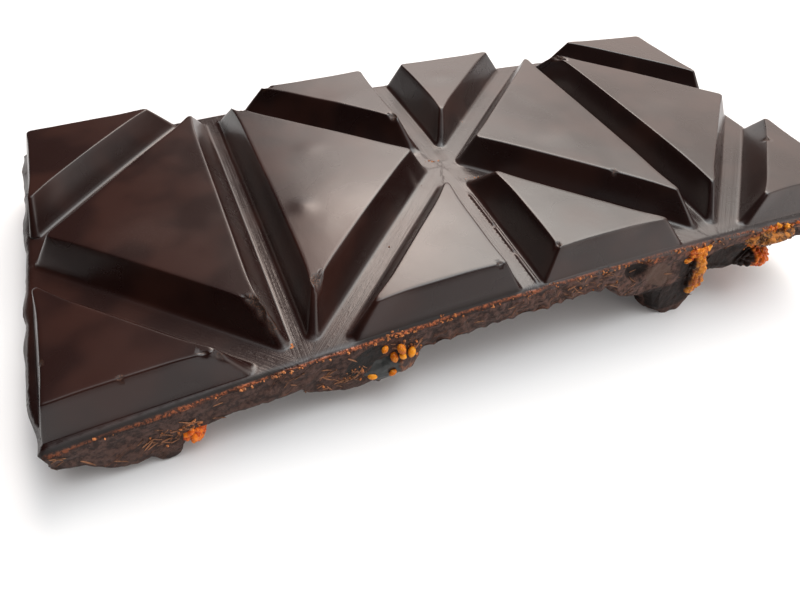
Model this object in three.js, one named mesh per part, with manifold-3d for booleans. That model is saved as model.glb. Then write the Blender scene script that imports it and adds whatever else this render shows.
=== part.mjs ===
// A bar of dark chocolate, moulded in a pattern of twelve raised triangles and lying on
// the dried fruit that was scattered over its back while it was soft.
// Millimetres, +Z up, standing on z = 0.

import * as THREE from 'three';
import { mergeVertices } from 'three/addons/utils/BufferGeometryUtils.js';
import Module from 'manifold-3d';

const wasm = await Module();
wasm.setup();

// ---------------------------------------------------------------- driving dimensions

// The pattern: four columns, each split by two diagonals into one big and two small triangles.
const LENGTH = 148.5;
const WIDTH = 72;
const COLUMNS = [
  { apex: 0, base: 1 },
  { apex: 2, base: 1 },
  { apex: 2, base: 3 },
  { apex: 4, base: 3 },
];
const COLUMN_LENGTH = LENGTH / COLUMNS.length;

// A raised triangle: how far the foot of each wall stays from the pattern's line, and how far
// the wall leans back on its way up.
const PAD_HEIGHT = 5.2;
const WALLS = {
  outer: { foot: 2.8, lean: 2.1 },
  diagonal: { foot: 2.04, lean: 2.9 },
  cross: { foot: 1.44, lean: 3.0 },
  middle: { foot: 2.2, lean: 2.9 },
};
const PAD_CORNER_RADIUS = 0.9;
const PAD_TOP_CORNER_RADIUS = 0.5;
const PAD_ROOT_DEPTH = 2.5;
const ARC_STEPS = 3;
const SIDE_STEPS = 2;

// The steps of such a wall from its root to the flat top: share of its lean, and its height.
const WALL_STEPS = [
  { lean: -0.16, height: -PAD_ROOT_DEPTH },
  { lean: -0.16, height: -0.3 },
  { lean: 0.1, height: 0.7 },
  { lean: 0.86, height: PAD_HEIGHT - 0.6 },
  { lean: 1.0, height: PAD_HEIGHT - 0.13 },
  { lean: 1.2, height: PAD_HEIGHT },
];

// The bar has bowed as it cooled, so its ends and its long sides hang lower than its middle.
const BOW_LENGTH = 2.57;
const BOW_SKEW = 0.18;
const BOW_WIDTH = 0.73;
const BOW_TWIST = 0.24;
const LIFTED_CORNER = { height: 0.6, reach: 24 };

// The plate under the triangles.
const PLATE_THICKNESS = 6.0;
const PLATE_ROUGHNESS = 0.55;
const PLATE_WAVE = { length: 9, phase: 3.5 };
const PLATE_GRID = { along: 24, across: 12 };
const LEFT_EDGE = 2.1;
const RIGHT_EDGE = LENGTH - 2.2;
const BACK_EDGE = WIDTH - 2.2;
const FRONT_EDGE = 1.92;
const FRONT_EDGE_BOW = 1.14;
const SIDE_ROUGHNESS = 0.4;
const SIDE_WAVE = { level: 4, upright: 3 };
const SIDE_GRID = { along: 32, across: 12, up: 5 };
const SIDE_TOP = 6;
const SIDE_HEIGHT = 26;
const LEFT_FLASH = { width: 1.3, start: 3, peak: 12, fade: 26 };
const RIM_WIDTH = 1.2;
const RIM_DROP = 0.55;
const RIM_LINES = [-1, 0.1, RIM_WIDTH];
const THIN_CORNER = { depth: 1.6, reach: 4 };
const THIN_END = { depth: 2.4, reach: 24 };

// How the bar lies: its right end is propped up by the deepest lump.
const TILT = THREE.MathUtils.degToRad(3.4);
const REST_HEIGHT = 12.1;
const FLOOR_DEPTH = 40;

// Pieces that lie against each other stay this far apart, and closer points are one.
const GAP = 0.3;
const SAME_POINT = 1e-4;

// A fig's seeds, and how much wider than a seed the hollow is that the chocolate has for it.
const SEED_RADIUS = 0.78;
const SEED_PROPORTIONS = [1, 0.8, 1.15];
const SEED_HOLLOW = 1.3;

// How far each kind of lump strays from a round form, and how closely its dents follow.
const UNEVENNESS = { chocolate: 0.07, fig: 0.09, peel: 0.14 };
const COARSE_DENTS = 1.6;
const FINE_DENTS = 3.7;
const LUMP_DETAIL = 2;
const LUMP_PHASE = 3.1;
const FRUIT_PHASE = { first: 20, step: 2.7 };

// Lumps of chocolate that flowed round the fruit. x runs along the bar, y across it from the
// front, and below is the depth of the lump's middle under the groove floor.
const LUMPS = [
  { x: 11.6, y: 5.5, below: 4.7, size: [7.4, 6.5, 5.1] },
  { x: 16.4, y: 5.0, below: 6.2, size: [3.3, 5.6, 6.2] },
  { x: 43.6, y: 6.5, below: 5.2, size: [10.2, 7.5, 5.8] },
  { x: 100.2, y: 7.0, below: 5.0, size: [10.2, 8.0, 6.7] },
  { x: 107.9, y: 6.2, below: 9.9, size: [5.9, 7.0, 9.8] },
  { x: 117.6, y: 6.5, below: 5.6, size: [7.6, 6.6, 5.3] },
  { x: 78.0, y: 58.5, below: 8.6, size: [9.0, 7.5, 9.6] },
  { x: 31.0, y: 56.0, below: 6.8, size: [8.0, 7.0, 7.9] },
  { x: 88.0, y: 39.0, below: 5.4, size: [8.5, 7.5, 5.6] },
  { x: 20.0, y: 33.0, below: 5.0, size: [7.5, 6.5, 5.2] },
  { x: 127.0, y: 58.0, below: 5.6, size: [8.5, 7.0, 6.4] },
];

// The dried fruit. lean turns a piece about the y axis, and each seed is a place on its front
// face, along the bar and upwards from its middle.
const FRUIT = [
  {
    name: 'fig_front', kind: 'fig', x: 49.7, y: 5.8, below: 7.1, size: [6.4, 5.3, 5.2],
    seeds: [[-2.8, -1.5], [-0.6, 4.1], [2.0, 3.5], [0.7, 1.5], [2.3, 1.9], [0.3, -0.9],
      [4.3, 0.4], [5.6, -0.6]],
  },
  { name: 'peel_left', kind: 'peel', x: 20.2, y: 3.0, below: 6.8, size: [1.7, 2.2, 2.4] },
  {
    name: 'peel_strip', kind: 'peel', x: 110.0, y: 5.2, below: 7.7, size: [2.1, 4.9, 8.1],
    lean: -0.2,
  },
  { name: 'peel_low_right', kind: 'peel', x: 125.6, y: 4.5, below: 8.7, size: [3.9, 4.3, 2.9] },
  {
    name: 'peel_crust_right', kind: 'peel', x: 125.9, y: 4.7, below: 2.8, size: [7.0, 4.6, 2.2],
    lean: 0.08,
  },
];

// More of the same fruit under the bar, where it can't be seen from above: half-lengths of the
// pieces, their proportions, and where each may stray from the middle of its cell.
const HIDDEN_FRUIT = {
  columns: 4,
  rows: 2,
  firstRow: 0.37 * WIDTH,
  rowStep: 0.33 * WIDTH,
  randomSeed: 11,
  halfLength: [3.4, 5.4],
  depthShare: [0.75, 1],
  heightShare: [0.6, 0.8],
  sunk: 1.6,
  strayAlong: 0.22 * COLUMN_LENGTH,
  strayAcross: 4,
  seeds: 3,
  seedSpread: [0.25, 0.75],
};

const COLOURS = {
  chocolate: { color: 0x35231f, roughness: 0.34 },
  fig: { color: 0x2e2320, roughness: 0.55 },
  peel: { color: 0xbf6a24, roughness: 0.6 },
};

// ---------------------------------------------------------------- numbers that repeat

/** Hash of a lattice point, between 0 and 1. */
function hash(i, j, k) {
  let h = Math.imul(i, 374761393) ^ Math.imul(j, 668265263) ^ Math.imul(k, 1274126177);
  h = Math.imul(h ^ (h >>> 13), 1103515245);
  return ((h ^ (h >>> 16)) >>> 0) / 4294967295;
}

/** Smooth value noise between -1 and 1. */
function noise(x, y, z) {
  const cell = [x, y, z].map(Math.floor);
  const ease = [x - cell[0], y - cell[1], z - cell[2]].map((t) => t * t * (3 - 2 * t));
  let sum = 0;
  for (let corner = 0; corner < 8; corner += 1) {
    const step = [corner & 1, (corner >> 1) & 1, corner >> 2];
    const weight = step.reduce((w, s, axis) => w * (s ? ease[axis] : 1 - ease[axis]), 1);
    sum += weight * hash(cell[0] + step[0], cell[1] + step[1], cell[2] + step[2]);
  }
  return 2 * sum - 1;
}

/** Random numbers between 0 and 1 that are the same on every run. */
function randomSource(seed) {
  let draw = 0;
  return () => {
    draw += 1;
    return hash(seed, draw, 7 * seed + draw);
  };
}

// ---------------------------------------------------------------- the bowed bar

/** Height of the groove floor at a place on the bar. */
function sheet(x, y) {
  const u = 2 * x / LENGTH - 1;
  const v = 2 * y / WIDTH - 1;
  const bow = BOW_LENGTH * u * u + BOW_SKEW * u ** 3 + BOW_WIDTH * v * v + BOW_TWIST * u * v;
  const corner = Math.hypot(x, WIDTH - y) / LIFTED_CORNER.reach;
  return LIFTED_CORNER.height * Math.exp(-corner * corner) - bow;
}

/** Where the plate's front side lies, a shallow curve that is furthest back at the middle. */
function frontEdge(x) {
  const u = 2 * x / LENGTH - 1;
  return FRONT_EDGE - FRONT_EDGE_BOW * u * u;
}

/** Where the plate's left end lies, with a ragged flash that bulges out near the front. */
function leftEdge(y) {
  const rise = THREE.MathUtils.smoothstep(y, LEFT_FLASH.start, LEFT_FLASH.peak);
  const fall = Math.exp(-Math.max(0, y - LEFT_FLASH.peak) / LEFT_FLASH.fade);
  return LEFT_EDGE - LEFT_FLASH.width * rise * fall;
}

/** Distance from a place on the bar to the nearest side of the plate. */
function edgeDistance(x, y) {
  return Math.min(x - leftEdge(y), RIGHT_EDGE - x, y - frontEdge(x), BACK_EDGE - y);
}

/** Thickness of the plate: rough underneath, thin at its broken corner and at its right end. */
function plateThickness(x, y) {
  const { length: wave, phase } = PLATE_WAVE;
  const rough = PLATE_ROUGHNESS * noise(x / wave, y / wave, phase);
  const corner = Math.hypot(x - LEFT_EDGE, y - frontEdge(x)) / THIN_CORNER.reach;
  const end = Math.max(0, 1 - (RIGHT_EDGE - x) / THIN_END.reach);
  const lost = THIN_CORNER.depth * Math.exp(-corner * corner) + THIN_END.depth * end;
  return PLATE_THICKNESS + rough - lost;
}

const TILT_MATRIX = new THREE.Matrix4()
  .makeRotationY(-TILT)
  .premultiply(new THREE.Matrix4().makeTranslation(0, 0, REST_HEIGHT));

// ---------------------------------------------------------------- solids

/** Moves every vertex of a geometry by a function of its place. */
function shaped(geometry, move) {
  const places = geometry.attributes.position;
  const point = new THREE.Vector3();
  for (let i = 0; i < places.count; i += 1) {
    move(point.fromBufferAttribute(places, i));
    places.setXYZ(i, point.x, point.y, point.z);
  }
  return geometry;
}

/** A geometry in the bar's own axes as a solid in the axes it rests in. */
function solidOf(geometry) {
  geometry.deleteAttribute('normal');
  geometry.deleteAttribute('uv');
  const merged = mergeVertices(geometry, SAME_POINT);
  merged.applyMatrix4(TILT_MATRIX);
  return new wasm.Manifold(new wasm.Mesh({
    numProp: 3,
    vertProperties: new Float32Array(merged.attributes.position.array),
    triVerts: new Uint32Array(merged.index.array),
  }));
}

/** A solid as a geometry that a mesh can hold. */
function geometryOf(solid) {
  const mesh = solid.getMesh();
  const geometry = new THREE.BufferGeometry();
  geometry.setAttribute('position', new THREE.BufferAttribute(mesh.vertProperties, 3));
  geometry.setIndex(new THREE.BufferAttribute(mesh.triVerts, 1));
  geometry.computeVertexNormals();
  return geometry;
}

/** Places between two ends with extra lines close to both, where the plate's rim is rounded. */
function rimmedPlace(share, from, to, count) {
  const line = Math.round(share * count);
  if (line < RIM_LINES.length) return from + RIM_LINES[line];
  if (count - line < RIM_LINES.length) return to - RIM_LINES[count - line];
  const inner = (line - RIM_LINES.length + 1) / (count - 2 * (RIM_LINES.length - 1));
  return THREE.MathUtils.lerp(from + RIM_WIDTH, to - RIM_WIDTH, inner);
}

/** The plate's bowed top and rough underside, a little larger than the plate all round. */
function plateBody() {
  const { along, across } = PLATE_GRID;
  return solidOf(shaped(new THREE.BoxGeometry(1, 1, 1, along, across, 1), (point) => {
    const roughX = THREE.MathUtils.lerp(LEFT_EDGE, RIGHT_EDGE, point.x + 0.5);
    const y = rimmedPlace(point.y + 0.5, frontEdge(roughX), BACK_EDGE, across);
    const x = rimmedPlace(point.x + 0.5, leftEdge(y), RIGHT_EDGE, along);
    const rim = Math.max(0, 1 - edgeDistance(x, y) / RIM_WIDTH);
    const top = sheet(x, y) - RIM_DROP * Math.min(rim, 1) ** 2;
    const underside = sheet(x, y) - plateThickness(x, y);
    point.set(x, y, point.z > 0 ? top : underside + RIM_DROP * Math.min(rim, 1));
  }));
}

/** The outline that the plate and the lumps are held to, with uneven sides. */
function outlinePrism() {
  const { along, across, up } = SIDE_GRID;
  return solidOf(shaped(new THREE.BoxGeometry(1, 1, 1, along, across, up), (point) => {
    const roughX = THREE.MathUtils.lerp(LEFT_EDGE, RIGHT_EDGE, point.x + 0.5);
    const y = THREE.MathUtils.lerp(frontEdge(roughX), BACK_EDGE, point.y + 0.5);
    const x = THREE.MathUtils.lerp(leftEdge(y), RIGHT_EDGE, point.x + 0.5);
    const z = sheet(x, y) + SIDE_TOP - (0.5 - point.z) * SIDE_HEIGHT;
    const { level: wave, upright } = SIDE_WAVE;
    const rough = SIDE_ROUGHNESS * noise(x / wave, y / wave, z / upright);
    point.set(x + 2 * point.x * rough, y + 2 * point.y * rough, z);
  }));
}

/** A round lump in the bar's own axes, uneven in its own way, grown by a distance all round. */
function blob({ x, y, below, size, lean = 0 }, kind, phase, grow = 0) {
  const middle = sheet(x, y) - below;
  const turn = new THREE.Matrix4().makeRotationY(lean).setPosition(x, y, middle);
  const coarse = new THREE.Vector3();
  const fine = new THREE.Vector3();
  return shaped(new THREE.IcosahedronGeometry(1, LUMP_DETAIL), (point) => {
    point.normalize();
    coarse.copy(point).multiplyScalar(COARSE_DENTS);
    fine.copy(point).multiplyScalar(FINE_DENTS);
    const dents = noise(coarse.x + phase, coarse.y, coarse.z)
      + 0.5 * noise(fine.x, fine.y + phase, fine.z);
    const uneven = 1 + UNEVENNESS[kind] * dents;
    point.set(...size.map((half, axis) => (half * uneven + grow) * point.getComponent(axis)));
    point.applyMatrix4(turn);
  });
}

/** The lumps that the bar stands on, each uneven in its own way. */
function chocolateLumps() {
  return LUMPS.map((lump, index) => solidOf(blob(lump, 'chocolate', LUMP_PHASE * index)));
}

// ---------------------------------------------------------------- the raised triangles

/** The kind of wall that stands along one line of the pattern. */
function wallKind([x0, y0], [x1, y1]) {
  if (x0 === x1 && x0 % COLUMNS.length === 0) return 'outer';
  if (y0 === y1) return 'outer';
  if (x0 !== x1) return 'diagonal';
  return 2 * x0 === COLUMNS.length ? 'middle' : 'cross';
}

/** Corners of the three triangles of a column, counterclockwise, in columns and widths. */
function columnTriangles({ apex, base }) {
  const triangles = [
    [[apex, 0.5], [base, 0], [base, 1]],
    [[apex, 0.5], [apex, 0], [base, 0]],
    [[apex, 0.5], [base, 1], [apex, 1]],
  ];
  return triangles.map((corners) => (base > apex ? corners : [...corners].reverse()));
}

/** The triangle moved inwards by its own distance from each side. */
function insetCorners(corners, insets) {
  const sides = corners.map((corner, i) => {
    const next = corners[(i + 1) % 3];
    const along = new THREE.Vector2().subVectors(next, corner).normalize();
    const inward = new THREE.Vector2(-along.y, along.x);
    return { along, inward, start: corner.clone().addScaledVector(inward, insets[i]) };
  });
  return sides.map((side, i) => {
    const before = sides[(i + 2) % 3];
    const apart = new THREE.Vector2().subVectors(side.start, before.start);
    const reach = apart.dot(side.inward) / before.along.dot(side.inward);
    return before.start.clone().addScaledVector(before.along, reach);
  });
}

/** A closed outline through three corners, with each corner rounded by an arc. */
function roundedTriangle(corners, radius) {
  const outline = new THREE.Shape();
  const arcs = corners.map((corner, i) => {
    const before = new THREE.Vector2().subVectors(corners[(i + 2) % 3], corner).normalize();
    const after = new THREE.Vector2().subVectors(corners[(i + 1) % 3], corner).normalize();
    const half = Math.acos(THREE.MathUtils.clamp(before.dot(after), -1, 1)) / 2;
    const middle = before.clone().add(after).normalize().multiplyScalar(radius / Math.sin(half));
    return {
      centre: corner.clone().add(middle),
      from: Math.atan2(before.x, -before.y),
      to: Math.atan2(-after.x, after.y),
    };
  });
  const ends = arcs.map(({ centre, from, to }) => ({
    first: new THREE.Vector2(Math.cos(from), Math.sin(from)).multiplyScalar(radius).add(centre),
    last: new THREE.Vector2(Math.cos(to), Math.sin(to)).multiplyScalar(radius).add(centre),
  }));
  outline.moveTo(ends[0].first.x, ends[0].first.y);
  arcs.forEach(({ centre, from, to }, i) => {
    outline.absarc(centre.x, centre.y, radius, from, to, false);
    const next = ends[(i + 1) % 3].first;
    const last = i < 2 ? SIDE_STEPS : SIDE_STEPS - 1;
    for (let step = 1; step <= last; step += 1) {
      const place = ends[i].last.clone().lerp(next, step / SIDE_STEPS);
      outline.lineTo(place.x, place.y);
    }
  });
  return outline;
}

/** An outline's points without those that repeat the point before. */
function withoutDoubles(points) {
  return points.filter((point, i) => i === 0 || point.distanceTo(points[i - 1]) > SAME_POINT);
}

/** One raised triangle, a stack of rounded outlines that follows the bow of the bar. */
function pad(triangle) {
  const kinds = triangle.map((corner, i) => wallKind(corner, triangle[(i + 1) % 3]));
  const corners = triangle.map(([x, y]) => new THREE.Vector2(x * COLUMN_LENGTH, y * WIDTH));
  const rings = WALL_STEPS.map(({ lean, height }) => {
    const insets = kinds.map((kind) => WALLS[kind].foot + lean * WALLS[kind].lean);
    const share = THREE.MathUtils.clamp(lean, 0, 1);
    const radius = THREE.MathUtils.lerp(PAD_CORNER_RADIUS, PAD_TOP_CORNER_RADIUS, share);
    const outline = roundedTriangle(insetCorners(corners, insets), radius);
    return withoutDoubles(outline.getPoints(ARC_STEPS))
      .map((p) => new THREE.Vector3(p.x, p.y, sheet(p.x, p.y) + height));
  });
  return solidOf(loft(rings));
}

/** A closed body through outlines that all have the same number of points. */
function loft(rings) {
  const count = rings[0].length;
  const flat = rings[0].map((point) => new THREE.Vector2(point.x, point.y));
  const cap = THREE.ShapeUtils.triangulateShape(flat, []);
  const faces = [];
  for (let ring = 0; ring + 1 < rings.length; ring += 1) {
    for (let i = 0; i < count; i += 1) {
      const [a, b] = [ring * count + i, ring * count + (i + 1) % count];
      faces.push([a, b, b + count], [a, b + count, a + count]);
    }
  }
  const last = (rings.length - 1) * count;
  cap.forEach(([a, b, c]) => faces.push([a, c, b], [last + a, last + b, last + c]));
  const geometry = new THREE.BufferGeometry();
  geometry.setFromPoints(rings.flat());
  geometry.setIndex(faces.flat());
  return geometry;
}

// ---------------------------------------------------------------- fruit

/** One seed, half sunk in the surface of a fig. */
function seed(place) {
  const ball = new THREE.SphereGeometry(SEED_RADIUS, 6, 3);
  return solidOf(ball.scale(...SEED_PROPORTIONS).translate(place.x, place.y, place.z));
}

/** The hollow that the chocolate has round a seed. */
function seedHollow(place) {
  const hollow = new THREE.IcosahedronGeometry(SEED_HOLLOW * SEED_RADIUS + GAP, 0);
  return solidOf(hollow.translate(place.x, place.y, place.z));
}

/** Places of a piece's seeds. A seed with no place across lies on the piece's front. */
function seedPlaces({ x, y, below, size, seeds = [] }) {
  const middle = sheet(x, y) - below;
  return seeds.map(([along, upwards, across]) => {
    const share = 1 - (along / size[0]) ** 2 - (upwards / size[2]) ** 2;
    const front = -size[1] * Math.sqrt(Math.max(share, 0));
    return new THREE.Vector3(x + along, y + (across ?? front), middle + upwards);
  });
}

/** Places on the underside of a piece where its seeds show, spread round its lowest point. */
function undersideSeeds(size, random) {
  const seeds = [];
  for (let i = 0; i < HIDDEN_FRUIT.seeds; i += 1) {
    const turn = 2 * Math.PI * (i + 0.6 * random()) / HIDDEN_FRUIT.seeds;
    const spread = THREE.MathUtils.lerp(...HIDDEN_FRUIT.seedSpread, random());
    const drop = Math.sqrt(1 - spread * spread);
    seeds.push([
      size[0] * spread * Math.cos(turn),
      -size[2] * drop,
      size[1] * spread * Math.sin(turn),
    ]);
  }
  return seeds;
}

/** Fruit for the underside: one piece in each cell of a grid, shifted and sized at random. */
function hiddenFruit() {
  const { columns, rows, firstRow, rowStep, strayAlong, strayAcross } = HIDDEN_FRUIT;
  const random = randomSource(HIDDEN_FRUIT.randomSeed);
  const between = (low, high) => THREE.MathUtils.lerp(low, high, random());
  const cells = Array.from({ length: columns * rows }, (_, i) => [i % columns, Math.floor(i / columns)]);
  return cells.map(([column, row], index) => {
    const kind = (row + column) % 2 ? 'peel' : 'fig';
    const half = between(...HIDDEN_FRUIT.halfLength);
    const depth = half * between(...HIDDEN_FRUIT.depthShare);
    const size = [half, depth, half * between(...HIDDEN_FRUIT.heightShare)];
    return {
      name: `${kind}_under_${index + 1}`,
      kind,
      size,
      seeds: kind === 'fig' ? undersideSeeds(size, random) : [],
      x: (column + 0.5) * COLUMN_LENGTH + between(-strayAlong, strayAlong),
      y: firstRow + row * rowStep + between(-strayAcross, strayAcross),
      below: PLATE_THICKNESS + HIDDEN_FRUIT.sunk,
    };
  });
}

// ---------------------------------------------------------------- the object

/** A box that takes away everything under the surface the bar lies on. */
function floorBlock() {
  const block = new THREE.BoxGeometry(2 * LENGTH, 4 * WIDTH, FLOOR_DEPTH);
  block.translate(LENGTH / 2, WIDTH / 2, -FLOOR_DEPTH / 2);
  block.applyMatrix4(TILT_MATRIX.clone().invert());
  return solidOf(block);
}

const group = new THREE.Group();
const floor = floorBlock();

/** Adds a named mesh with the finish of its kind. */
function addMesh(name, kind, solid) {
  const material = new THREE.MeshStandardMaterial({ ...COLOURS[kind], metalness: 0 });
  const mesh = new THREE.Mesh(geometryOf(solid), material);
  mesh.name = name;
  group.add(mesh);
}

let chocolate = plateBody();
chocolateLumps().forEach((lump) => {
  chocolate = chocolate.add(lump);
});
chocolate = chocolate.intersect(outlinePrism());
COLUMNS.flatMap(columnTriangles).forEach((triangle) => {
  chocolate = chocolate.add(pad(triangle));
});

[...FRUIT, ...hiddenFruit()].forEach((piece, index) => {
  const phase = FRUIT_PHASE.first + FRUIT_PHASE.step * index;
  let body = solidOf(blob(piece, piece.kind, phase));
  chocolate = chocolate.subtract(solidOf(blob(piece, piece.kind, phase, GAP)));
  seedPlaces(piece).forEach((place) => {
    body = body.add(seed(place));
    chocolate = chocolate.subtract(seedHollow(place));
  });
  addMesh(piece.name, piece.kind, body.subtract(floor));
});
addMesh('chocolate_bar', 'chocolate', chocolate.subtract(floor));

const extent = new THREE.Box3().setFromObject(group);
const middle = extent.getCenter(new THREE.Vector3());
group.children.forEach((mesh) => mesh.geometry.translate(-middle.x, -middle.y, 0));

export default group;
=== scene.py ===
"""Looks of a bar of dark chocolate that lies on the dried fruit set in its back.

The bar's own axes are used for its making: x runs along it from the left, y across it from
the front and z up from the groove floor, all in millimetres. They are then tilted and
shifted into the frame's axes, in metres.
"""

import logging
import math
from collections.abc import Iterator, Sequence
from dataclasses import dataclass, field
from enum import Enum, IntEnum
from functools import reduce

import bmesh
import bpy
import numpy as np
from bpy.types import ID, Material, Mesh, Node, NodeSocket, NodeTree, Object
from mathutils import Matrix, Vector
from mathutils.geometry import delaunay_2d_cdt
from numpy import ndarray as Array

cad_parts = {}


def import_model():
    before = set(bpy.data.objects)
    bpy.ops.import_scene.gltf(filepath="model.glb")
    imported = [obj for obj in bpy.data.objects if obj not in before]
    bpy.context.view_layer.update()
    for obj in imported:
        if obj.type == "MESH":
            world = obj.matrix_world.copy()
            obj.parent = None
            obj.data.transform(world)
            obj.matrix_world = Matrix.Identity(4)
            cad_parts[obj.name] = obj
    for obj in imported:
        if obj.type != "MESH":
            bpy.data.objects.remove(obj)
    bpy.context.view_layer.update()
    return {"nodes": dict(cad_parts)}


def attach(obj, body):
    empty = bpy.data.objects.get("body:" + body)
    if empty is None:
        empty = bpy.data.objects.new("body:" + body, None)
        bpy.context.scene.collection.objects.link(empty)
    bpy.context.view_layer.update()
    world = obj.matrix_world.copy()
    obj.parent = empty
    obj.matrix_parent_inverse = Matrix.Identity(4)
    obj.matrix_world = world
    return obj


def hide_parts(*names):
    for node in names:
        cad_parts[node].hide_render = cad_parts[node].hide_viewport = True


MM = 0.001
LOG = logging.getLogger("chocolate_bar")
Pair = tuple[float, float]
Triple = tuple[float, float, float]


# ---- numbers that repeat


def lattice_hash(i: Array, j: Array, k: Array) -> Array:
    """Hashes lattice points to numbers between 0 and 1.

    Args:
        i, j, k: whole numbers along the three axes.

    Returns:
        One number for each point.
    """
    mask = 0xFFFFFFFF
    mixed = (i * 374761393 & mask) ^ (j * 668265263 & mask) ^ (k * 1274126177 & mask)
    mixed = ((mixed ^ (mixed >> 13)) * 1103515245) & mask
    return (mixed ^ (mixed >> 16)) / 4294967295


def noise(points: Array) -> Array:
    """Smooth value noise with one wave per unit.

    Args:
        points: places, as rows of three.

    Returns:
        Numbers between -1 and 1.
    """
    cell = np.floor(points).astype(np.int64)
    ease = points - cell
    ease = ease * ease * (3 - 2 * ease)
    total = np.zeros(len(points))
    for corner in range(8):
        step = np.array([corner & 1, (corner >> 1) & 1, corner >> 2])
        weight = np.prod(np.where(step == 1, ease, 1 - ease), axis=1)
        total += weight * lattice_hash(*(cell + step).T)
    return 2 * total - 1


def layered_noise(points: Array, wave: float, layers: int, phase: float = 0.0) -> Array:
    """Noise with finer and weaker layers on top.

    Args:
        points: places, as rows of three.
        wave: wavelength of the coarsest layer.
        layers: number of layers, each twice as fine as the last.
        phase: shift that gives another pattern.

    Returns:
        Numbers roughly between -1 and 1.
    """
    total = np.zeros(len(points))
    for layer in range(layers):
        total += noise(points * 2 ** layer / wave + phase + 17.3 * layer) * 0.55 ** layer
    return total


def knobs(points: Array, wave: float, phase: float) -> tuple[Array, Array]:
    """Packs space with round knobs.

    Args:
        points: places, as rows of three.
        wave: distance from one knob to the next.
        phase: shift that gives another packing.

    Returns:
        For each point a height, 1 in the middle of its knob, and the knob's own tone.
    """
    places = points / wave + phase
    cell = np.floor(places).astype(np.int64)
    nearest = np.full(len(points), np.inf)
    tone = np.zeros(len(points))
    for step in np.ndindex(3, 3, 3):
        corner = (cell + step - 1).T
        stray = np.column_stack([lattice_hash(*(corner + shift)) for shift in (0, 31, 57)])
        apart = np.linalg.norm(places - corner.T - 0.15 - 0.7 * stray, axis=1)
        tone = np.where(apart < nearest, stray[:, 0], tone)
        nearest = np.minimum(nearest, apart)
    return 1 - np.minimum(nearest / 0.75, 1) ** 2, tone


def smoothstep(low: float, high: float, value: Array) -> Array:
    """Eases numbers from 0 at low to 1 at high."""
    share = np.clip((value - low) / (high - low), 0, 1)
    return share * share * (3 - 2 * share)


def joined(x: Array, y: Array, z: Array) -> Array:
    """Puts three coordinates side by side, one row for each point."""
    return np.column_stack(np.broadcast_arrays(x, y, z)).astype(float)


def unit(vectors: Array) -> Array:
    """Scales one vector, or rows of them, to length 1."""
    return vectors / np.linalg.norm(vectors, axis=-1, keepdims=True)


def turned(x: Array, y: Array, degrees: float) -> tuple[Array, Array]:
    """Measures flat offsets along a turned direction and across it."""
    cos, sin = math.cos(math.radians(degrees)), math.sin(math.radians(degrees))
    return x * cos + y * sin, y * cos - x * sin


# ---- the bowed bar


@dataclass(frozen=True)
class WallShape:
    """How far a wall's foot stays from the pattern's line, and how far the wall leans back."""

    foot: float
    lean: float


class WallKind(Enum):
    """Kinds of wall of the raised triangles, with sizes in millimetres."""

    OUTER = WallShape(2.8, 2.1)
    DIAGONAL = WallShape(2.04, 2.9)
    CROSS = WallShape(1.44, 3.0)
    MIDDLE = WallShape(2.2, 2.9)


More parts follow.
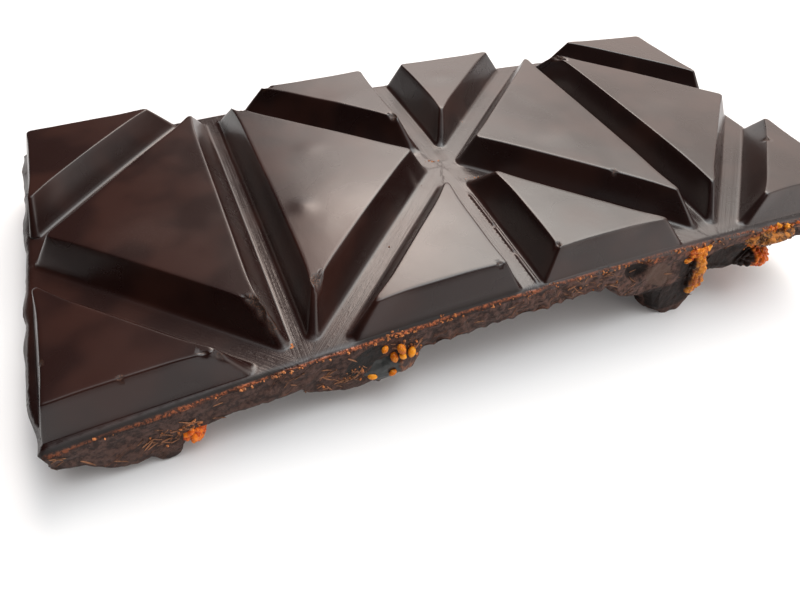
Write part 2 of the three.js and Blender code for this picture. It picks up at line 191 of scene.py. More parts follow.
@dataclass(frozen=True)
class BarShape:
    """Sizes of the bar and the way it lies, in millimetres."""

    length: float = 148.5
    width: float = 72.0
    pad_height: float = 5.2
    bow_length: float = 2.57
    bow_skew: float = 0.18
    bow_width: float = 0.73
    bow_twist: float = 0.24
    lifted_height: float = 0.6
    lifted_reach: float = 24.0
    plate: float = 6.0
    plate_roughness: float = 0.55
    plate_wave: float = 9.0
    plate_phase: float = 3.5
    edge_left: float = 2.1
    edge_right: float = 146.3
    edge_back: float = 69.8
    edge_front: float = 1.92
    edge_front_bow: float = 1.14
    flash_width: float = 1.3
    flash_start: float = 3.0
    flash_peak: float = 12.0
    flash_fade: float = 26.0
    side_roughness: float = 0.4
    side_wave: float = 4.0
    side_upright_wave: float = 3.0
    rim_width: float = 1.2
    rim_drop: float = 0.55
    thin_corner_depth: float = 1.6
    thin_corner_reach: float = 4.0
    thin_end_depth: float = 2.4
    thin_end_reach: float = 24.0
    tilt: float = math.radians(3.4)
    rest_height: float = 12.1
    middle_x: float = 73.8546
    middle_y: float = 34.8748

    def sheet(self, x: Array, y: Array) -> Array:
        """Height of the groove floor before its details.

        Args:
            x, y: places along and across the bar.

        Returns:
            Heights in the bar's axes.
        """
        u = 2 * x / self.length - 1
        v = 2 * y / self.width - 1
        bow = self.bow_length * u * u + self.bow_skew * u ** 3
        bow = bow + self.bow_width * v * v + self.bow_twist * u * v
        corner = np.hypot(x, self.width - y) / self.lifted_reach
        return self.lifted_height * np.exp(-corner * corner) - bow

    def front(self, x: Array) -> Array:
        """Where the plate's front side lies, for places along the bar."""
        u = 2 * x / self.length - 1
        return self.edge_front - self.edge_front_bow * u * u

    def left(self, y: Array) -> Array:
        """Where the plate's left end lies, for places across the bar."""
        flash = self.flash_width * smoothstep(self.flash_start, self.flash_peak, y)
        return self.edge_left - flash * np.exp(-np.maximum(0, y - self.flash_peak) / self.flash_fade)

    def edge_distance(self, x: Array, y: Array) -> Array:
        """Distance from a place to the nearest side of the plate, negative outside it."""
        sides = [x - self.left(y), self.edge_right - x, y - self.front(x), self.edge_back - y]
        return np.minimum.reduce(sides)

    def rim(self, x: Array, y: Array) -> Array:
        """How far a place is into the plate's rounded rim, from 0 to 1 at its side."""
        return np.clip(1 - self.edge_distance(x, y) / self.rim_width, 0, 1)

    def floor(self, x: Array, y: Array) -> Array:
        """Height of the groove floor, with the rounded rim."""
        return self.sheet(x, y) - self.rim_drop * self.rim(x, y) ** 2

    def underside(self, x: Array, y: Array) -> Array:
        """Height of the plate's rough underside.

        Args:
            x, y: places along and across the bar.

        Returns:
            Heights in the bar's axes.
        """
        places = joined(x / self.plate_wave, y / self.plate_wave, self.plate_phase)
        rough = self.plate_roughness * noise(places)
        corner = np.hypot(x - self.edge_left, y - self.front(x)) / self.thin_corner_reach
        end = np.maximum(0, 1 - (self.edge_right - x) / self.thin_end_reach)
        lost = self.thin_corner_depth * np.exp(-corner * corner) + self.thin_end_depth * end
        thickness = self.plate + rough - lost
        return self.sheet(x, y) - thickness + self.rim_drop * self.rim(x, y)

    def side_shift(self, points: Array) -> Array:
        """How far the uneven side stands out at each point."""
        waves = [self.side_wave, self.side_wave, self.side_upright_wave]
        return self.side_roughness * noise(points / waves)

    def placed(self, points: Array) -> Array:
        """Turns points of the bar's axes into the frame's axes.

        Args:
            points: places in millimetres in the bar's axes.

        Returns:
            Places in metres in the frame's axes.
        """
        across = math.cos(self.tilt)
        up = math.sin(self.tilt)
        x = points[:, 0] * across - points[:, 2] * up - self.middle_x
        z = points[:, 0] * up + points[:, 2] * across + self.rest_height
        return joined(x, points[:, 1] - self.middle_y, z) * MM


@dataclass(frozen=True)
class Lump:
    """An uneven ball that hangs below the groove floor, in millimetres."""

    x: float
    y: float
    below: float
    size: Triple
    lean: float = 0.0
    dents: float = 1.6
    fine_dents: float = 3.7

    def swelling(self, directions: Array, unevenness: float, phase: float) -> Array:
        """How far the ball stands out in each direction, 1 where it is round.

        Args:
            directions: unit vectors.
            unevenness: how far the ball strays from a round form.
            phase: shift that gives each ball its own dents.

        Returns:
            One factor for each direction.
        """
        coarse = noise(directions * self.dents + [phase, 0, 0])
        fine = noise(directions * self.fine_dents + [0, phase, 0])
        return 1 + unevenness * (coarse + 0.5 * fine)

    def surface(self, directions: Array, unevenness: float, phase: float) -> Array:
        """Places on the ball from its middle, before it is leant and placed."""
        uneven = self.swelling(directions, unevenness, phase)
        return directions * np.array(self.size) * uneven[:, None]

    def seated(self, places: Array, bar: BarShape) -> Array:
        """Leans places on the ball and moves them to where it sits in the bar."""
        middle = [self.x, self.y, float(bar.sheet(self.x, self.y)) - self.below]
        return places @ np.array(Matrix.Rotation(self.lean, 3, "Y")).T + middle


# ---- wear of the moulded face


@dataclass(frozen=True)
class Chip:
    """A piece broken out of a pad's nearest edge: its place, size and height on the wall."""

    x: float
    y: float
    radius: float
    depth: float
    height: float = 5.2


@dataclass(frozen=True)
class Patch:
    """An oval patch of the moulded face: place, half-lengths, amount and turn in degrees.

    The amount is a height in millimetres, the strength of pale bloom or a number of crumbs.
    """

    x: float
    y: float
    along: float
    across: float
    amount: float
    turn: float = 0.0

    def weight(self, x: Array, y: Array) -> Array:
        """How strongly the patch shows at flat places, up to its amount."""
        along, across = turned(x - self.x, y - self.y, self.turn)
        return self.amount * np.exp(-(along / self.along) ** 2 - (across / self.across) ** 2)


class Shade(IntEnum):
    """What a patch on the front side looks like: fig flesh, pale chocolate, or dark patches that are
    mostly painted shade in hollows and under lumps.
    """

    FLESH = 0
    DARK = 1
    PALE = 2


@dataclass(frozen=True)
class StainAndPaintedShade:
    """A stain, or a patch of painted shade, on the front side: kind, place along and below the face,
    half-lengths, turn, hollow.
    """

    shade: Shade
    x: float
    below: float
    along: float
    up: float
    turn: float
    hollow: float = 0.0

    def weight(self, x: Array, below: Array) -> Array:
        """How strongly the patch shows on the front side, from 1 through 0.5 at its edge."""
        along, up = turned(x - self.x, self.below - below, self.turn)
        return 1 - smoothstep(0.6, 1.4, np.hypot(along / self.along, up / self.up))


@dataclass(frozen=True)
class Ledge:
    """A thin raised strip beside a pad's foot, broken across in places."""

    x: float = 75.7
    start: float = 2.7
    end: float = 27.4
    half_width: float = 0.42
    height: float = 0.34
    breaks: tuple[float, ...] = (10.2, 17.2)
    break_width: float = 0.35
    step: float = 0.4
    lines: tuple[float, ...] = (-1.35, -0.85, 0.0, 0.85, 1.35)

    def places(self) -> Array:
        """Flat places along the strip's sides and middle.

        Returns:
            Rows of two.
        """
        y = np.arange(self.start, self.end, self.step)
        return np.array([(self.x + line * self.half_width, place)
                         for line in self.lines for place in y])

    def rise(self, x: Array, y: Array) -> Array:
        """How far the strip stands up at flat places.

        Args:
            x, y: places along and across the bar.

        Returns:
            Heights above the groove floor.
        """
        found = 1 - smoothstep(0.8 * self.half_width, 1.3 * self.half_width, np.abs(x - self.x))
        found = found * smoothstep(self.start, self.start + 1, y)
        found = found * (1 - smoothstep(self.end - 2, self.end, y))
        for place in self.breaks:
            found = found * (1 - np.exp(-((y - place) / self.break_width) ** 2))
        return self.height * found


# ---- meshes


class Region(IntEnum):
    """The part of the bar's surface that a point belongs to."""

    FLOOR = 0
    WALL = 1
    CAP = 2
    SIDE = 3
    UNDER = 4


@dataclass
class Draft:
    """Points and faces of a mesh in the making, in the bar's axes."""

    points: list[Array] = field(default_factory=list)
    regions: list[Array] = field(default_factory=list)
    faces: list[Array] = field(default_factory=list)
    count: int = 0

    def add(self, points: Array, region: Region) -> Array:
        """Adds points of one region.

        Args:
            points: places, as rows of three.
            region: where they belong.

        Returns:
            The new points' numbers.
        """
        numbers = np.arange(self.count, self.count + len(points))
        self.points.append(points)
        self.regions.append(np.full(len(points), int(region)))
        self.count += len(points)
        return numbers

    def strip(self, lower: Array, upper: Array) -> None:
        """Joins two closed rings that have the same number of points.

        Args:
            lower: numbers of the first ring's points, counterclockwise from above.
            upper: numbers of the ring above it.
        """
        after_lower, after_upper = np.roll(lower, -1), np.roll(upper, -1)
        self.faces.append(np.column_stack([lower, after_lower, after_upper]))
        self.faces.append(np.column_stack([lower, after_upper, upper]))

    def fill(self, numbers: Array, places: Array, loops: list[Array],
             downwards: bool = False) -> None:
        """Fills a flat region with triangles, up to the closed outlines round it.

        Args:
            numbers: the points' numbers in the mesh, those on the outlines first.
            places: their flat places, one row of two each.
            loops: closed outlines, as rows of places.
            downwards: whether the faces look down.
        """
        fences = np.concatenate([np.column_stack([loop, np.roll(loop, -1)]) for loop in loops])
        vectors = [Vector((float(x), float(y))) for x, y in places]
        found = delaunay_2d_cdt(vectors, fences.tolist(), [], 0, 1e-6)
        source = np.array([origin[0] if origin else -1 for origin in found[3]])
        corners = source[np.array([list(triangle) for triangle in found[2]])]
        parts = connected_parts(corners, fences, len(places))
        inner = (corners >= sum(len(loop) for loop in loops)).any(axis=1)
        corners = corners[np.isin(parts, np.unique(parts[inner]))]
        if downwards:
            corners = corners[:, ::-1]
        self.faces.append(numbers[corners])

    def cover(self, ring: Array, outline: Array, grid: Array,
              height: Array, region: Region) -> None:
        """Closes a ring with a face that runs over inner points.

        Args:
            ring: numbers of the ring's points.
            outline: their places.
            grid: flat places of the inner points.
            height: their heights.
            region: where they belong. The underside's face looks down.
        """
        inner = self.add(joined(*grid.T, height), region)
        self.fill(np.concatenate([ring, inner]), np.concatenate([outline[:, :2], grid]),
                  [np.arange(len(ring))], downwards=region is Region.UNDER)

    def whole(self) -> tuple[Array, ...]:
        """All points, the region of each, and all triangles as rows of point numbers."""
        return tuple(np.concatenate(part) for part in (self.points, self.regions, self.faces))


def connected_parts(corners: Array, fences: Array, count: int) -> Array:
    """Finds which triangles hang together without crossing a fence.

    Args:
        corners: triangles as rows of point numbers.
        fences: edges that part the triangles, as rows of point numbers.
        count: number of points.

    Returns:
        A part's number for each triangle.
    """
    sides = np.concatenate([corners[:, [0, 1]], corners[:, [1, 2]], corners[:, [2, 0]]])
    owners = np.tile(np.arange(len(corners)), 3)
    keys = np.sort(sides, axis=1) @ [count, 1]
    free = ~np.isin(keys, np.sort(fences, axis=1) @ [count, 1])
    keys, owners = keys[free], owners[free]
    order = np.argsort(keys, kind="stable")
    keys, owners = keys[order], owners[order]
    same = np.flatnonzero(keys[1:] == keys[:-1])
    left, right = owners[same], owners[same + 1]
    parts = np.arange(len(corners))
    while True:
        lowest = np.minimum(parts[left], parts[right])
        updated = parts.copy()
        np.minimum.at(updated, left, lowest)
        np.minimum.at(updated, right, lowest)
        updated = updated[updated]
        if (updated == parts).all():
            return parts
        parts = updated


def linked(name: str, data: ID) -> Object:
    """Makes an object and links it to the scene.

    Args:
        name: the object's name.
        data: its mesh or camera.

    Returns:
        The object.
    """
    made = bpy.data.objects.new(name, data)
    bpy.context.scene.collection.objects.link(made)
    return made


def mesh_object(name: str, points: Array, faces: Array) -> Object:
    """Makes a smooth mesh object.

    Args:
        name: the object's name.
        points: places in metres.
        faces: rows of point numbers.

    Returns:
        The object, linked to the scene.
    """
    mesh = bpy.data.meshes.new(name)
    mesh.from_pydata(points.tolist(), [], faces.tolist())
    mesh.update()
    mesh.shade_smooth()
    return linked(name, mesh)


def ball_object(name: str, subdivisions: int) -> tuple[Object, Array]:
    """Makes a smooth round ball.

    Args:
        name: the object's name.
        subdivisions: how finely the ball is divided.

    Returns:
        The object, linked to the scene, and its points as unit vectors.
    """
    mesh = bpy.data.meshes.new(name)
    ball = bmesh.new()
    bmesh.ops.create_icosphere(ball, subdivisions=subdivisions, radius=1)
    ball.to_mesh(mesh)
    ball.free()
    mesh.shade_smooth()
    flat = np.empty(3 * len(mesh.vertices))
    mesh.vertices.foreach_get("co", flat)
    return linked(name, mesh), flat.reshape(-1, 3)


def move_points(made: Object, places: Array) -> None:
    """Moves the points of an object's mesh to other places, in metres."""
    made.data.vertices.foreach_set("co", places.ravel())
    made.data.update()


def store_values(mesh: Mesh, name: str, values: Array) -> None:
    """Stores numbers or rows of three at a mesh's points.

    Args:
        mesh: the mesh.
        name: name to store them by.
        values: one number or row for each point.
    """
    kind, key = ("FLOAT", "value") if values.ndim == 1 else ("FLOAT_VECTOR", "vector")
    layer = mesh.attributes.new(name, kind, "POINT")
    layer.data.foreach_set(key, values.astype(np.float32).ravel())


def point_normals(points: Array, faces: Array) -> Array:
    """Normals at points, each face weighing in by its area.

    Args:
        points: places, as rows of three.
        faces: triangles as rows of point numbers.

    Returns:
        Unit vectors.
    """
    sides = points[faces]
    areas = np.cross(sides[:, 1] - sides[:, 0], sides[:, 2] - sides[:, 0])
    normals = np.zeros_like(points)
    for corner in range(3):
        np.add.at(normals, faces[:, corner], areas)
    return normals / np.maximum(np.linalg.norm(normals, axis=1, keepdims=True), 1e-12)


def hexagonal_grid(low: Sequence[float], high: Sequence[float], spacing: float) -> Array:
    """Flat places in rows that are shifted by half a step from each other.

    Args:
        low: lowest corner.
        high: highest corner.
        spacing: distance between neighbours.

    Returns:
        Rows of two.
    """
    rows = np.arange(low[1], high[1], spacing * math.sqrt(3) / 2)
    steps = np.arange(low[0], high[0], spacing)
    shift = np.where(np.arange(len(rows)) % 2, spacing / 2, 0)
    x = steps[None, :] + shift[:, None]
    y = np.broadcast_to(rows[:, None], x.shape)
    return np.column_stack([x.ravel(), y.ravel()])


# ---- the chocolate


@dataclass
class TrianglePad:
    """One raised triangle: its corners on the pattern and the kinds of its three walls."""

    bar: BarShape
    corners: Array
    kinds: list[WallKind]
    corner_radius: float = 1.0
    top_corner_radius: float = 0.5
    front_corner_share: float = 0.5
    square_from: float = 0.6
    blunt_share: float = 2.6
    blunt_from: float = 0.5
    corner_bulge: float = 0.75
    corner_reach: float = 3.2
    foot_radius: float = 1.1
    outer_foot_radius: float = 0.25
    foot_follow: float = 1.0
    edge_radius: float = 0.4
    foot_share: float = -0.036
    top_share: float = 0.93
    arc_steps: int = 6
    fillet_steps: int = 4
    wall_steps: int = 6
    spacing: float = 0.5
    lip_share: float = 0.8

    def profile(self, kind: WallKind) -> Array:
        """Distances from the pattern's line and heights on the way up one wall.

        Args:
            kind: the wall's kind.

        Returns:
            Rows of a distance and a height, from the groove floor to the flat top.
        """
        foot = kind.value.foot + self.foot_share * kind.value.lean
        top = kind.value.foot + self.top_share * kind.value.lean
        height = self.bar.pad_height
        slope = math.atan2(height, top - foot)
        turns = slope * np.linspace(0, 1, self.fillet_steps + 1)
        radius = self.outer_foot_radius if kind is WallKind.OUTER else self.foot_radius
        start = foot - radius * math.tan(slope / 2)
        lower = np.column_stack([start + radius * np.sin(turns), radius * (1 - np.cos(turns))])
        radius, turns = self.edge_radius, turns[::-1]
        end = top + radius * math.tan(slope / 2)
        upper = np.column_stack([end - radius * np.sin(turns),
                                 height - radius * (1 - np.cos(turns))])
        shares = np.linspace(0, 1, self.wall_steps + 1)[1:-1, None]
        wall = lower[-1] + (upper[0] - lower[-1]) * shares
        inner = upper[-1] + [self.lip_share * self.spacing, 0]
        return np.concatenate([lower, wall, upper, inner[None]])

    def inset(self, distances: Sequence[float]) -> Array:
        """The triangle's corners after each side has moved inwards.

        Args:
            distances: how far each side moves.

        Returns:
            Three flat places.
        """
        along = unit(np.roll(self.corners, -1, axis=0) - self.corners)
        inward = np.column_stack([-along[:, 1], along[:, 0]])
        starts = self.corners + np.array(distances)[:, None] * inward
        before, ahead = np.roll(starts, 1, axis=0), np.roll(along, 1, axis=0)
        reach = ((starts - before) * inward).sum(axis=1) / (ahead * inward).sum(axis=1)
        return before + ahead * reach[:, None]

    def side_counts(self) -> list[int]:
        """How many steps each straight side is split into."""
        lengths = np.linalg.norm(np.roll(self.corners, -1, axis=0) - self.corners, axis=1)
        return [max(4, round(0.8 * length / self.spacing)) for length in lengths]

    def ring(self, insets: Array, heights: Array) -> Array:
        """One closed line round the triangle.

        Args:
            insets: distance of each side from the pattern's line.
            heights: height of each side.

        Returns:
            Rows of flat place and height, counterclockwise.
        """
        share = min(1.0, heights[0] / self.bar.pad_height)
        radius = self.corner_radius + (self.top_corner_radius - self.corner_radius) * share
        first = self.kinds[0].value
        foot = first.foot + self.foot_share * first.lean
        radius += self.foot_follow * max(0.0, foot - insets[0])
        corners = self.inset(insets)
        befores = unit(np.roll(corners, 1, axis=0) - corners)
        afters = unit(np.roll(corners, -1, axis=0) - corners)
        inwards = unit(befores + afters)
        along = np.linspace(0, 1, self.arc_steps + 1)
        arcs, pushes = [], []
        for i, (before, after) in enumerate(zip(befores, afters)):
            half = math.acos(float(np.clip(before @ after, -1, 1))) / 2
            blunt = radius * (1 + self.blunt_share * max(0.0, math.sin(half) - self.blunt_from))
            if math.sin(half) > self.square_from and self.corners[i][1] < 1:
                blunt = radius * self.front_corner_share
            x, y = corners[i] + inwards[i] * blunt / math.sin(half)
            bulge = self.corner_bulge * (1 / math.sin(half) - 1)
            pushes.append(-inwards[i] * bulge * share ** 0.7)
            start = math.atan2(before[0], -before[1])
            turns = start + (math.atan2(-after[0], after[1]) - start) % (2 * math.pi) * along
            height = heights[i - 1] * (1 - along) + heights[i] * along
            arcs.append(joined(x + blunt * np.cos(turns), y + blunt * np.sin(turns), height))
        rows = []
        for arc, following, count in zip(arcs, arcs[1:] + arcs[:1], self.side_counts()):
            steps = np.linspace(0, 1, count + 1)[1:-1, None]
            rows += [arc, arc[-1] + (following[0] - arc[-1]) * steps]
        line = np.concatenate(rows)
        for corner, push in zip(corners, pushes):
            apart = np.linalg.norm(line[:, :2] - corner, axis=1) / self.corner_reach
            line[:, :2] += np.exp(-apart ** 2)[:, None] * push
        return line

    def rings(self) -> list[Array]:
        """All lines of the triangle's walls, from the groove floor to the flat top."""
        profiles = [self.profile(kind) for kind in self.kinds]
        return [self.ring(*np.transpose(rows)) for rows in zip(*profiles)]


def within(places: Array, line: Array, margin: float) -> Array:
    """Whether flat places lie inside a closed line and clear of it.

    Args:
        places: rows of two.
        line: the line's points in order, rows of two.
        margin: least distance from the line's points, or most distance outside it when negative.

    Returns:
        One truth value for each place.
    """
    x, y = places[:, :1], places[:, 1:2]
    after = np.roll(line, -1, axis=0)
    crossed = (line[:, 1] > y) != (after[:, 1] > y)
    rise = np.where(after[:, 1] == line[:, 1], 1.0, after[:, 1] - line[:, 1])
    meeting = line[:, 0] + (y - line[:, 1]) / rise * (after[:, 0] - line[:, 0])
    found = (crossed & (x < meeting)).sum(axis=1) % 2 == 1
    apart = np.hypot(x - line[:, 0], y - line[:, 1]).min(axis=1)
    return found & (apart > margin) if margin > 0 else found | (apart < -margin)


def pattern_triangles(bar: BarShape) -> list[TrianglePad]:
    """The twelve triangles of the moulded pattern.

    Args:
        bar: the bar's sizes.

    Returns:
        The triangles, column by column.
    """
    columns = [(0, 1), (2, 1), (2, 3), (4, 3)]
    scale = np.array([bar.length / len(columns), bar.width])
    pads = []
    for apex, base in columns:
        for corners in ([(apex, 0.5), (base, 0), (base, 1)],
                        [(apex, 0.5), (apex, 0), (base, 0)],
                        [(apex, 0.5), (base, 1), (apex, 1)]):
            corners = corners if base > apex else corners[::-1]
            kinds = [wall_kind(corners[i], corners[(i + 1) % 3], len(columns)) for i in range(3)]
            pads.append(TrianglePad(bar, np.array(corners, float) * scale, kinds))
    return pads


def wall_kind(start: Pair, end: Pair, columns: int) -> WallKind:
    """The kind of wall along one line of the pattern.

    Args:
        start: one end, in columns and widths.
        end: the other end.
        columns: number of columns.

    Returns:
        The wall's kind.
    """
    if start[1] == end[1] or (start[0] == end[0] and start[0] % columns == 0):
        return WallKind.OUTER
    if start[0] != end[0]:
        return WallKind.DIAGONAL
    return WallKind.MIDDLE if 2 * start[0] == columns else WallKind.CROSS


@dataclass
class ChocolateBar:
    """The chocolate: its moulded face, its broken sides and its lumpy underside."""

    bar: BarShape
    floor_spacing: float = 0.55
    cap_spacing: float = 0.95
    chip_spacing: float = 0.3
    under_spacing: float = 1.3
    front_spacing: float = 0.4
    side_spacing: float = 0.8
    side_rows: int = 16
    corner_inset: float = 0.7
    foot_margin: float = 0.75
    foot_yield: float = 0.9
    settle_height: float = 1.5
    inward_limit: float = 0.25
    unevenness: float = 0.07
    lump_phase: float = 3.1
    lump_passes: int = 4
    far_above: float = 1e3
    lumps: tuple[Lump, ...] = (
        Lump(11.6, 5.5, 4.7, (7.4, 6.5, 5.1)), Lump(16.4, 5, 6.2, (3.3, 5.6, 6.2)),
        Lump(43.6, 6.5, 5.2, (10.2, 7.5, 5.8)), Lump(100.2, 7, 5, (10.2, 8, 6.7)),
        Lump(107.9, 6.2, 9.9, (5.9, 7, 9.8)), Lump(117.6, 6.5, 5.6, (7.6, 6.6, 5.3)),
        Lump(78, 58.5, 8.6, (9, 7.5, 9.6)), Lump(31, 56, 6.8, (8, 7, 7.9)),
        Lump(88, 39, 5.4, (8.5, 7.5, 5.6)), Lump(20, 33, 5, (7.5, 6.5, 5.2)),
        Lump(127, 58, 5.6, (8.5, 7, 6.4)),
    )
    chips: tuple[Chip, ...] = (
        Chip(33.2, 8.4, 1.5, 0.45), Chip(33.6, 8, 1.2, 0.35, 3.9),
        Chip(34.4, 7.2, 1.1, 0.3, 2.5), Chip(42, 11.4, 1.4, 0.5), Chip(24.5, 4.2, 0.5, 0.15),
        Chip(26.5, 3.6, 0.5, 0.15, 4.2), Chip(14, 4.5, 0.5, 0.12), Chip(5.4, 11.1, 0.5, 0.15),
        Chip(45.2, 63.9, 1.5, 0.45, 4.2), Chip(46.4, 64.3, 1, 0.3), Chip(68.4, 46.2, 1, 0.3),
        Chip(68.5, 4.1, 0.45, 0.15), Chip(78.8, 5.2, 0.6, 0.25), Chip(118, 63.8, 1.8, 0.5),
        Chip(136.9, 19.3, 0.8, 0.25), Chip(99.7, 18.5, 0.7, 0.15),
    )
    swells: tuple[Patch, ...] = (
        Patch(50.9, 42.7, 2.4, 2, 0.11), Patch(44.8, 27.1, 1.7, 1.7, 0.2),
        Patch(47, 30, 14, 14, 0.45), Patch(85, 59, 3, 2, 0.1),
        Patch(96.4, 31.2, 5, 4, 0.1), Patch(123.8, 35.2, 5, 4, 0.1),
        Patch(61.4, 57, 5, 3, 0.1), Patch(20.6, 30.1, 9, 8, 0.12),
    )
    smears: tuple[Patch, ...] = (
        Patch(74, 38.2, 2.6, 1, 0.9, 20), Patch(67.8, 31.5, 1.6, 0.8, 0.8, -40),
        Patch(77.7, 30.8, 2.4, 1.2, 0.9, -70), Patch(75, 34.5, 5, 4, 0.35),
        Patch(97.3, 5.6, 5, 0.7, 0.6, 8), Patch(52.7, 31.9, 4, 2, 0.25, 30),
        Patch(64.2, 14.1, 2, 1, 0.3, 30), Patch(112.5, 4.4, 4.5, 0.9, 0.45),
        Patch(56, 18.3, 11, 1.5, 0.3, 44), Patch(96.4, 31.2, 4, 2.5, 0.22, 20),
        Patch(123.8, 35.2, 5, 3, 0.22, 10), Patch(20.6, 30.1, 6, 5, 0.12),
        Patch(30.6, 3.1, 1.2, 0.6, 0.9), Patch(35.5, 5.8, 0.5, 0.4, 0.5),
        Patch(85.2, 48.9, 0.8, 0.5, 0.8),
    )
    # Patches on the front side; the dark ones are mostly painted shade, in carved hollows and under
    # a lump.
    stains_and_painted_shade: tuple[StainAndPaintedShade, ...] = (
        StainAndPaintedShade(Shade.FLESH, 45.9, 3.5, 3.5, 1.9, 30), StainAndPaintedShade(Shade.DARK, 117.5, 6.3, 6.5, 3, 5, 0.9),
        StainAndPaintedShade(Shade.DARK, 95.5, 3.2, 2.4, 1.9, -20, 1.3),
        StainAndPaintedShade(Shade.DARK, 103.7, 12.6, 10, 3.6, 0), StainAndPaintedShade(Shade.DARK, 107.5, 5.5, 1.8, 4, 10),
        StainAndPaintedShade(Shade.DARK, 52.5, 9, 3, 1.6, 20), StainAndPaintedShade(Shade.PALE, 101, 5.6, 3.6, 2.3, -40),
    )
    ledge: Ledge = Ledge()
    torn_from: float = 52.0
    torn_to: float = 96.0
    torn_wave: float = 2.9
    torn_slant: float = 0.6
    torn_depth: float = 0.5
    crag_depth: float = 0.28
    crag_wave: float = 2.6
    face_waviness: float = 0.05
    face_wave: float = 13.0
    front_facing: float = 0.5
    bare_rim: float = 0.8
    draft: Draft = field(default_factory=Draft)
    front_side: tuple[Array, ...] = ()

    def side_line(self) -> Array:
        """The plate's outline, counterclockwise, with closer points along the front.

        Returns:
            Rows of two.
        """
        bar, inset, step = self.bar, self.corner_inset, self.side_spacing
        left, right, back = bar.edge_left, bar.edge_right, bar.edge_back
        front_x = np.arange(left + inset, right - inset, self.front_spacing)
        right_y = np.arange(float(bar.front(right)) + inset, back - inset, step)
        back_x = np.arange(right - inset, left + inset, -step)
        left_y = np.arange(back - inset, float(bar.front(left)) + inset, -step)
        sides = [(front_x, bar.front(front_x)), (right, right_y), (back_x, back),
                 (bar.left(left_y), left_y)]
        return np.concatenate([joined(x, y, 0)[:, :2] for x, y in sides])

    def shifted_line(self, line: Array, height: Array) -> Array:
        """The outline at some height, moved out or in by the side's roughness.

        Args:
            line: flat places on the outline.
            height: height of each place.

        Returns:
            Rows of three.
        """
        ahead = unit(np.roll(line, -1, axis=0) - np.roll(line, 1, axis=0))
        outward = np.column_stack([ahead[:, 1], -ahead[:, 0]])
        shift = np.maximum(self.bar.side_shift(joined(*line.T, height)), -self.inward_limit)
        return joined(*(line + outward * shift[:, None]).T, height)

    def lump_height(self, number: int, places: Array) -> Array:
        """Height of a lump's lower half at flat places, high above where it isn't.

        Args:
            number: the lump's number.
            places: rows of two.

        Returns:
            Heights in the bar's axes.
        """
        lump, phase = self.lumps[number], self.lump_phase * number
        apart = (places - [lump.x, lump.y]) / np.array(lump.size[:2])
        scale = np.ones(len(places))
        for _ in range(self.lump_passes):
            flat = apart / scale[:, None]
            reach = np.minimum((flat ** 2).sum(axis=1), 1)
            directions = unit(joined(*flat.T, -np.sqrt(1 - reach)))
            scale = lump.swelling(directions, self.unevenness, phase)
        reach = ((apart / scale[:, None]) ** 2).sum(axis=1)
        middle = float(self.bar.sheet(lump.x, lump.y)) - lump.below
        height = middle - lump.size[2] * scale * np.sqrt(np.maximum(0, 1 - reach))
        return np.where(reach < 1, height, self.far_above)

    def under_height(self, places: Array) -> Array:
        """Height of the underside with its lumps, at flat places."""
        hanging = [self.lump_height(number, places) for number in range(len(self.lumps))]
        return np.minimum.reduce([self.bar.underside(*places.T), *hanging])

    def lump_places(self) -> Array:
        """Flat places that follow the lumps' round forms closely, up to their steep sides.

        Returns:
            Rows of two.
        """
        found = []
        turns = np.linspace(0, 2 * math.pi, 36, endpoint=False)
        for index, lump in enumerate(self.lumps):
            for slope in np.radians([8, 20, 32, 44, 56, 66, 75, 83, 89]):
                directions = joined(np.cos(turns) * math.sin(slope),
                                    np.sin(turns) * math.sin(slope), -math.cos(slope))
                places = lump.surface(directions, self.unevenness, self.lump_phase * index)
                found.append(places[:, :2] * 0.995 + [lump.x, lump.y])
        return np.concatenate(found)

    def build(self) -> Object:
        """Makes the chocolate's mesh.

        Returns:
            The object, in the frame's axes.
        """
        draft, bar = self.draft, self.bar
        line = self.side_line()
        top = bar.floor(*line.T)
        bottom = self.under_height(line)
        rows = [self.shifted_line(line, top + (bottom - top) * row / self.side_rows)
                for row in range(self.side_rows + 1)]
        rings = [self.add_top(rows[0])] + [draft.add(row, Region.SIDE) for row in rows[1:]]
        for upper, lower in zip(rings, rings[1:]):
            draft.strip(lower, upper)
        self.add_underside(rings[-1], rows[-1])
        points = self.worn()
        _, regions, faces = draft.whole()
        placed = bar.placed(points)
        made = mesh_object("chocolate", placed, faces)
        self.mark(made, points, regions)
        torn = (regions[faces] != Region.SIDE).sum(axis=1) < 2
        torn |= (regions[faces] == Region.UNDER).all(axis=1)
        made.data.polygons.foreach_set("material_index", torn.astype(np.int32))
        normals = point_normals(placed, faces)
        front = (regions == Region.SIDE) & (normals[:, 1] < -self.front_facing)
        front &= points[:, 2] < bar.sheet(*points.T[:2]) - self.bare_rim
        self.front_side = (placed[front], normals[front])
        return made

